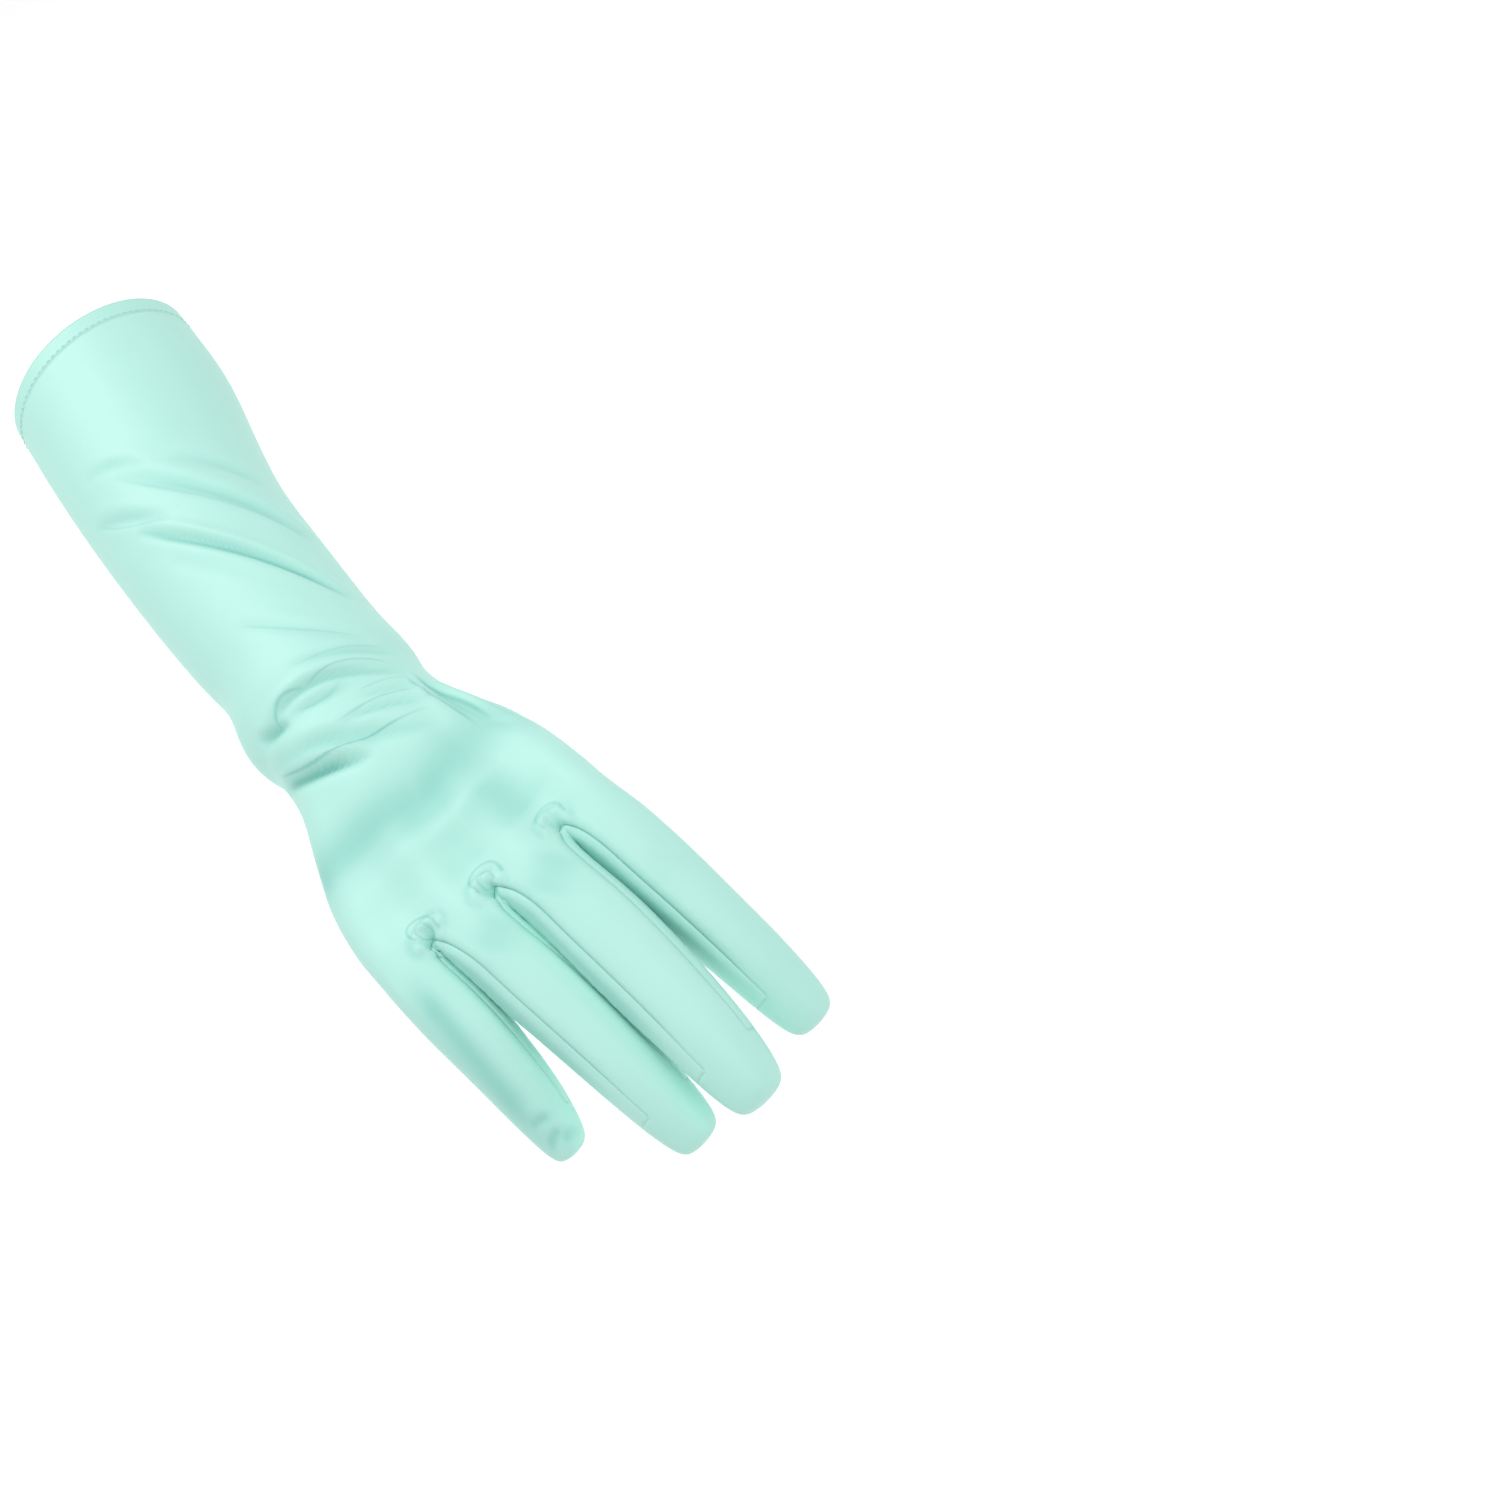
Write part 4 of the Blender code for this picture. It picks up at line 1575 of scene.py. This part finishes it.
@dataclass(frozen=True)
class LoopGroup:
    """Node group of one crisp ring: 1 on its line and 0 away from it."""

    name: str = "loop_line"

    def build(self) -> bpy.types.NodeTree:
        """Wire the group.

        Returns:
            Its node tree.
        """
        wires = Wiring.group(
            self.name,
            dict.fromkeys(("Place", "Centre"), "Vector")
            | dict.fromkeys(("Radius", "Breadth", "Strength"), "Float"),
            {"Line": "Float"},
        )
        taken = wires.taken()
        away = wires.vector("DISTANCE", taken["Place"], taken["Centre"])
        away = wires.math("SUBTRACT", away, taken["Radius"])
        line = wires.bell(wires.math("DIVIDE", away, taken["Breadth"]))
        return wires.give(Line=wires.math("MULTIPLY", line, taken["Strength"]))


@dataclass(frozen=True)
class WeaveGroup:
    """Node group of the satin: fine drawn threads, cloudy tone, and painted shade in the folds, crisp
    lines, seams and gaps.

    The scales are in repeats a metre, and the heights and shades are how much each adds.
    """

    sizes: Measures = field(default_factory=Measures)
    name: str = "satin_cloth"
    thread_scale: tuple[float, float, float] = (4200.0, 520.0, 1.0)
    cloud_scale: float = 45.0
    ripple_scale: float = 85.0
    ripple_height: float = 5.0
    line_height: float = -8.0
    # How much painted shade the crisp lines and the seams' grooves lay on the colour.
    line_shade: float = 0.8
    seam_shade: float = 0.3
    thread_gloss: float = 0.08

    def crisp_line(
        self, wires: Wiring, tree: bpy.types.NodeTree, place: Socket, **values: object
    ) -> Socket:
        """Add the group of one line.

        Args:
            wires: the wiring of the tree to add it in.
            tree: the line's group.
            place: the socket of the place on the flat cloth.
            values: the line's own values, by the names of the group's sockets.

        Returns:
            A value from 0 to 1.
        """
        node = wires.add("Group", node_tree=tree)
        wires.feed(node.inputs["Place"], place)
        for title, value in values.items():
            wires.feed(node.inputs[title], value)
        return node.outputs["Line"]

    def crisp_lines(self, wires: Wiring, place: Socket) -> Socket:
        """The strongest of all crisp creases and rings at a place.

        Args:
            wires: the wiring of the tree to build them in.
            place: the socket of the place on the flat cloth.

        Returns:
            The socket of a value from 0 to 1.
        """
        crease_line, loop_line = CreaseGroup().build(), LoopGroup().build()
        strongest = 0.0
        for crease in CREASES:
            start, end = (crease.place(self.sizes, last) for last in (False, True))
            way = end - start
            line = self.crisp_line(
                wires,
                crease_line,
                place,
                Start=start,
                Way=way / way.length_squared,
                Side=Vector((-way.y, way.x, 0.0)).normalized(),
                Sag=4.0 * crease.sag * self.sizes.sleeve_length * math.copysign(1.0, way.x),
                Breadth=crease.breadth / 1000,
                Strength=crease.strength,
            )
            strongest = wires.math("MAXIMUM", strongest, line)
        for loop in LOOPS:
            line = self.crisp_line(
                wires,
                loop_line,
                place,
                Centre=(loop.across / 1000, loop.ahead / 1000, 0.0),
                Radius=loop.radius / 1000,
                Breadth=loop.breadth / 1000,
                Strength=loop.strength,
            )
            strongest = wires.math("MAXIMUM", strongest, line)
        return strongest

    def build(self) -> bpy.types.NodeTree:
        """Wire the group, once.

        Returns:
            Its node tree.
        """
        found = bpy.data.node_groups.get(self.name)
        if found:
            return found
        wires = Wiring.group(
            self.name,
            dict.fromkeys(("Colour", "Painted Shade Colour"), "Color")
            | dict.fromkeys(("Roughness", "Painted Shade Strength", "Cloudiness"), "Float"),
            {"Colour": "Color", "Roughness": "Float", "Height": "Float"},
        )
        taken = wires.taken()
        flat = wires.add("UVMap", uv_map="cloth").outputs["UV"]
        stretch = wires.add("Mapping")
        wires.feed(stretch.inputs["Vector"], flat)
        wires.feed(stretch.inputs["Scale"], self.thread_scale)
        threads = wires.noise(stretch.outputs["Vector"], 1.0, 2.0)
        place = wires.add("TexCoord").outputs["Object"]
        clouds = wires.noise(place, self.cloud_scale, 3.0)
        ripples = wires.noise(place, self.ripple_scale, 1.0)
        fold = wires.add("Attribute", attribute_name="fold").outputs["Fac"]
        seam = wires.add("Attribute", attribute_name="seam").outputs["Fac"]
        lines = self.crisp_lines(wires, flat)

        # Painted shade: crisp lines, folds, marks, gaps and seams mix the colour towards the shade colour.
        pressed = wires.math("MULTIPLY_ADD", lines, self.line_shade, fold)
        pressed = wires.math("MULTIPLY_ADD", seam, self.seam_shade, pressed)
        pressed = wires.math("MULTIPLY", pressed, taken["Painted Shade Strength"])
        centred = wires.math("SUBTRACT", clouds, 0.5)
        depth = wires.math("MULTIPLY_ADD", centred, taken["Cloudiness"], pressed, clamp=True)
        tone = wires.add("Mix", data_type="RGBA")
        wires.feed(tone.inputs["Factor"], depth)
        wires.feed(tone.inputs["A"], taken["Colour"])
        wires.feed(tone.inputs["B"], taken["Painted Shade Colour"])
        uneven = wires.math("MULTIPLY_ADD", ripples, self.ripple_height, threads)
        return wires.give(
            Colour=tone.outputs["Result"],
            Roughness=wires.math("MULTIPLY_ADD", threads, self.thread_gloss, taken["Roughness"]),
            Height=wires.math("MULTIPLY_ADD", lines, self.line_height, uneven),
        )


@dataclass(frozen=True)
class SatinFinish:
    """Stretch satin: a smooth float of threads with a soft sheen."""

    name: str
    tone: Tone = Tone.MINT
    # The colour that painted shade darkens the satin towards.
    painted_shade: Tone = Tone.MINT_PAINTED_SHADE
    roughness: float = 0.44
    # How strongly the painted shade darkens the satin.
    painted_shade_strength: float = 0.68
    cloudiness: float = 0.14
    sheen: float = 0.25
    sheen_roughness: float = 0.35
    specular: float = 0.38
    thread_height: float = 0.00004
    relief: float = 0.5

    def build(self) -> bpy.types.Material:
        """Make the material.

        Returns:
            The material.
        """
        material, shader = plain_material(self.name)
        nodes, link = material.node_tree.nodes, material.node_tree.links.new
        shader.inputs["Sheen Weight"].default_value = self.sheen
        shader.inputs["Sheen Roughness"].default_value = self.sheen_roughness
        shader.inputs["Sheen Tint"].default_value = self.tone.value
        shader.inputs["Specular IOR Level"].default_value = self.specular
        cloth = nodes.new("ShaderNodeGroup")
        cloth.node_tree = WeaveGroup().build()
        cloth.inputs["Colour"].default_value = self.tone.value
        cloth.inputs["Painted Shade Colour"].default_value = self.painted_shade.value
        cloth.inputs["Roughness"].default_value = self.roughness
        cloth.inputs["Painted Shade Strength"].default_value = self.painted_shade_strength
        cloth.inputs["Cloudiness"].default_value = self.cloudiness
        relief = nodes.new("ShaderNodeBump")
        relief.inputs["Distance"].default_value = self.thread_height
        relief.inputs["Strength"].default_value = self.relief
        link(cloth.outputs["Colour"], shader.inputs["Base Color"])
        link(cloth.outputs["Roughness"], shader.inputs["Roughness"])
        link(cloth.outputs["Height"], relief.inputs["Height"])
        link(relief.outputs["Normal"], shader.inputs["Normal"])
        return material


@dataclass
class EveningGlove:
    """The glove: its surface, its folds and seams, and its pieces.

    A fourchette gets painted shade, up to the fork's shade at the fork's depth from its seams, and
    less and less over the fork's fade, two shares of the finger's length.
    """

    sizes: Measures = field(default_factory=Measures)
    seams: Seams = field(default_factory=Seams)
    fork_shade: float = 0.70
    fork_depth: float = 0.0045
    fork_fade: tuple[float, float] = (0.50, 0.76)

    def pieces(self) -> list[tuple[ClothPiece, SatinFinish]]:
        """Name each piece and its flat size and area.

        Returns:
            The pieces, each with its finish.
        """
        sizes, seams = self.sizes, self.seams
        satin = SatinFinish("satin")
        hem_satin = SatinFinish("satin_hem", tone=Tone.MINT_HEM)
        made = [
            (ClothPiece("trank", Cut.TRANK, sizes, seams, (0.21, 0.40), 0.070), satin),
            (ClothPiece("hem", Cut.HEM, sizes, seams, (0.21, 0.0085), 0.0018), hem_satin),
            (ClothPiece("thumb", Cut.THUMB, sizes, seams, (0.075, 0.075), 0.0045), satin),
        ]
        for cut in FORK_CUTS:
            name = "fourchette_" + cut.name.lower()
            made.append((ClothPiece(name, cut, sizes, seams, (0.14, 0.017), 0.002), satin))
        return made

    def build(self) -> list[bpy.types.Object]:
        """Build every piece and put it in its CAD node's place.

        Returns:
            The objects.
        """
        form = GloveForm(self.sizes, ArmFrame(self.sizes))
        surface = Surface.of(form.rounded())
        shade = Drape(self.sizes).press(surface)
        close = self.seams.draw_in(surface)
        # Painted shade on the fourchettes, in the gaps between the fingers.
        for cut in FORK_CUTS:
            own = np.unique(surface.quads[surface.cuts == cut])
            painted_shade = self.fork_shade * np.clip(surface.inset[own] / self.fork_depth, 0.0, 1.0)
            painted_shade *= np.array([1.0 - blend(*self.fork_fade, at) for at in surface.reach[own]])
            shade[own] = np.maximum(shade[own], painted_shade)
        # Painted shade masks of the folds, marks, gaps and seams.
        shades = {"fold": shade, "seam": close}
        objects = []
        for piece, finish in self.pieces():
            obj = piece.build(surface, shades)
            obj.name = piece.name + "_satin"
            obj.data.materials.append(bpy.data.materials.get(finish.name) or finish.build())
            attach(obj, "root")
            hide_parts(piece.name)
            log.info("%s: %d faces", obj.name, len(obj.data.polygons))
            objects.append(obj)
        hem = objects[int(Cut.HEM)]
        stitches = HemStitches().build(surface, hem)
        stitches.data.materials.append(ThreadFinish().build())
        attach(stitches, "root")
        log.info("%s: %d faces", stitches.name, len(stitches.data.polygons))
        return objects


@dataclass(frozen=True)
class Lamp:
    """A round soft light: where it hangs, how wide it is in metres and its power in watts."""

    name: str
    place: tuple[float, float, float]
    size: float
    power: float

    def build(self, target: tuple[float, float, float]) -> None:
        """Hang the light.

        Args:
            target: the place that it is aimed at.
        """
        data = bpy.data.lights.new(self.name, "AREA")
        data.shape = "DISK"
        data.size, data.energy = self.size, self.power
        light = in_scene(self.name, data)
        light.location = self.place
        aim = Vector(target) - Vector(self.place)
        light.rotation_euler = aim.to_track_quat("-Z", "Y").to_euler()


@dataclass
class Studio:
    """Pale floor, soft light and the camera.

    The camera looks ahead, with the other two directions to its right and upwards.
    """

    floor_level: float = -0.42
    floor_reach: float = 6.0
    floor_glow: float = 0.30
    camera_at: tuple[float, float, float] = (0.0273, -0.6340, 0.4133)
    camera_right: tuple[float, float, float] = (0.7977, -0.5211, -0.3036)
    camera_ahead: tuple[float, float, float] = (0.1040, 0.6147, -0.7819)
    camera_up: tuple[float, float, float] = (0.5940, 0.5921, 0.5445)
    lens: float = 48.0
    sensor: float = 36.0
    surroundings: float = 0.55
    aim: tuple[float, float, float] = (0.0, -0.2, 0.0)
    lamps: tuple[Lamp, ...] = (
        Lamp("key", (0.35, -0.60, 1.20), 1.1, 7.7),
        Lamp("fill", (-0.25, 0.75, 0.80), 0.8, 4.4),
        Lamp("side", (-0.95, -0.05, 0.45), 0.9, 1.3),
    )

    def build_floor(self) -> None:
        """A plain pale floor, well under the glove."""
        bm = bmesh.new()
        bmesh.ops.create_grid(bm, x_segments=4, y_segments=4, size=self.floor_reach)
        floor = from_bmesh("floor", bm)
        floor.location.z = self.floor_level
        material, shader = plain_material("floor_white")
        shader.inputs["Base Color"].default_value = (0.95, 0.95, 0.95, 1.0)
        shader.inputs["Roughness"].default_value = 0.9
        shader.inputs["Specular IOR Level"].default_value = 0.0
        shader.inputs["Emission Color"].default_value = (1.0, 1.0, 1.0, 1.0)
        shader.inputs["Emission Strength"].default_value = self.floor_glow
        floor.data.materials.append(material)

    def build_light(self) -> None:
        """White surroundings, a wide soft key light over the hand and faint ones behind and beside it."""
        world = bpy.data.worlds.new("studio")
        world.use_nodes = True
        back = world.node_tree.nodes["Background"]
        back.inputs["Color"].default_value = (1.0, 1.0, 1.0, 1.0)
        back.inputs["Strength"].default_value = self.surroundings
        bpy.context.scene.world = world
        for lamp in self.lamps:
            lamp.build(self.aim)

    def build_camera(self) -> None:
        """The camera, at the photograph's angle and distance."""
        lens = bpy.data.cameras.new("camera")
        lens.lens = self.lens
        lens.sensor_width = self.sensor
        lens.clip_start, lens.clip_end = 0.01, 30.0
        camera = in_scene("camera", lens)
        back = -Vector(self.camera_ahead)
        turn = Matrix((self.camera_right, self.camera_up, back)).transposed()
        camera.matrix_world = Matrix.Translation(self.camera_at) @ turn.to_4x4()
        bpy.context.scene.camera = camera

    def build(self) -> None:
        """Floor, light and camera, and the plain tone curve."""
        self.build_floor()
        self.build_light()
        self.build_camera()
        view = bpy.context.scene.view_settings
        view.view_transform = "Standard"
        view.look = "None"


def main() -> None:
    """Load the frame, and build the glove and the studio."""
    logging.basicConfig(level=logging.INFO, format="%(name)s: %(message)s")
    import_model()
    glove = EveningGlove()
    made = glove.build()
    log.info("glove: %d pieces", len(made))
    Studio().build()


if __name__ == "__main__":
    main()
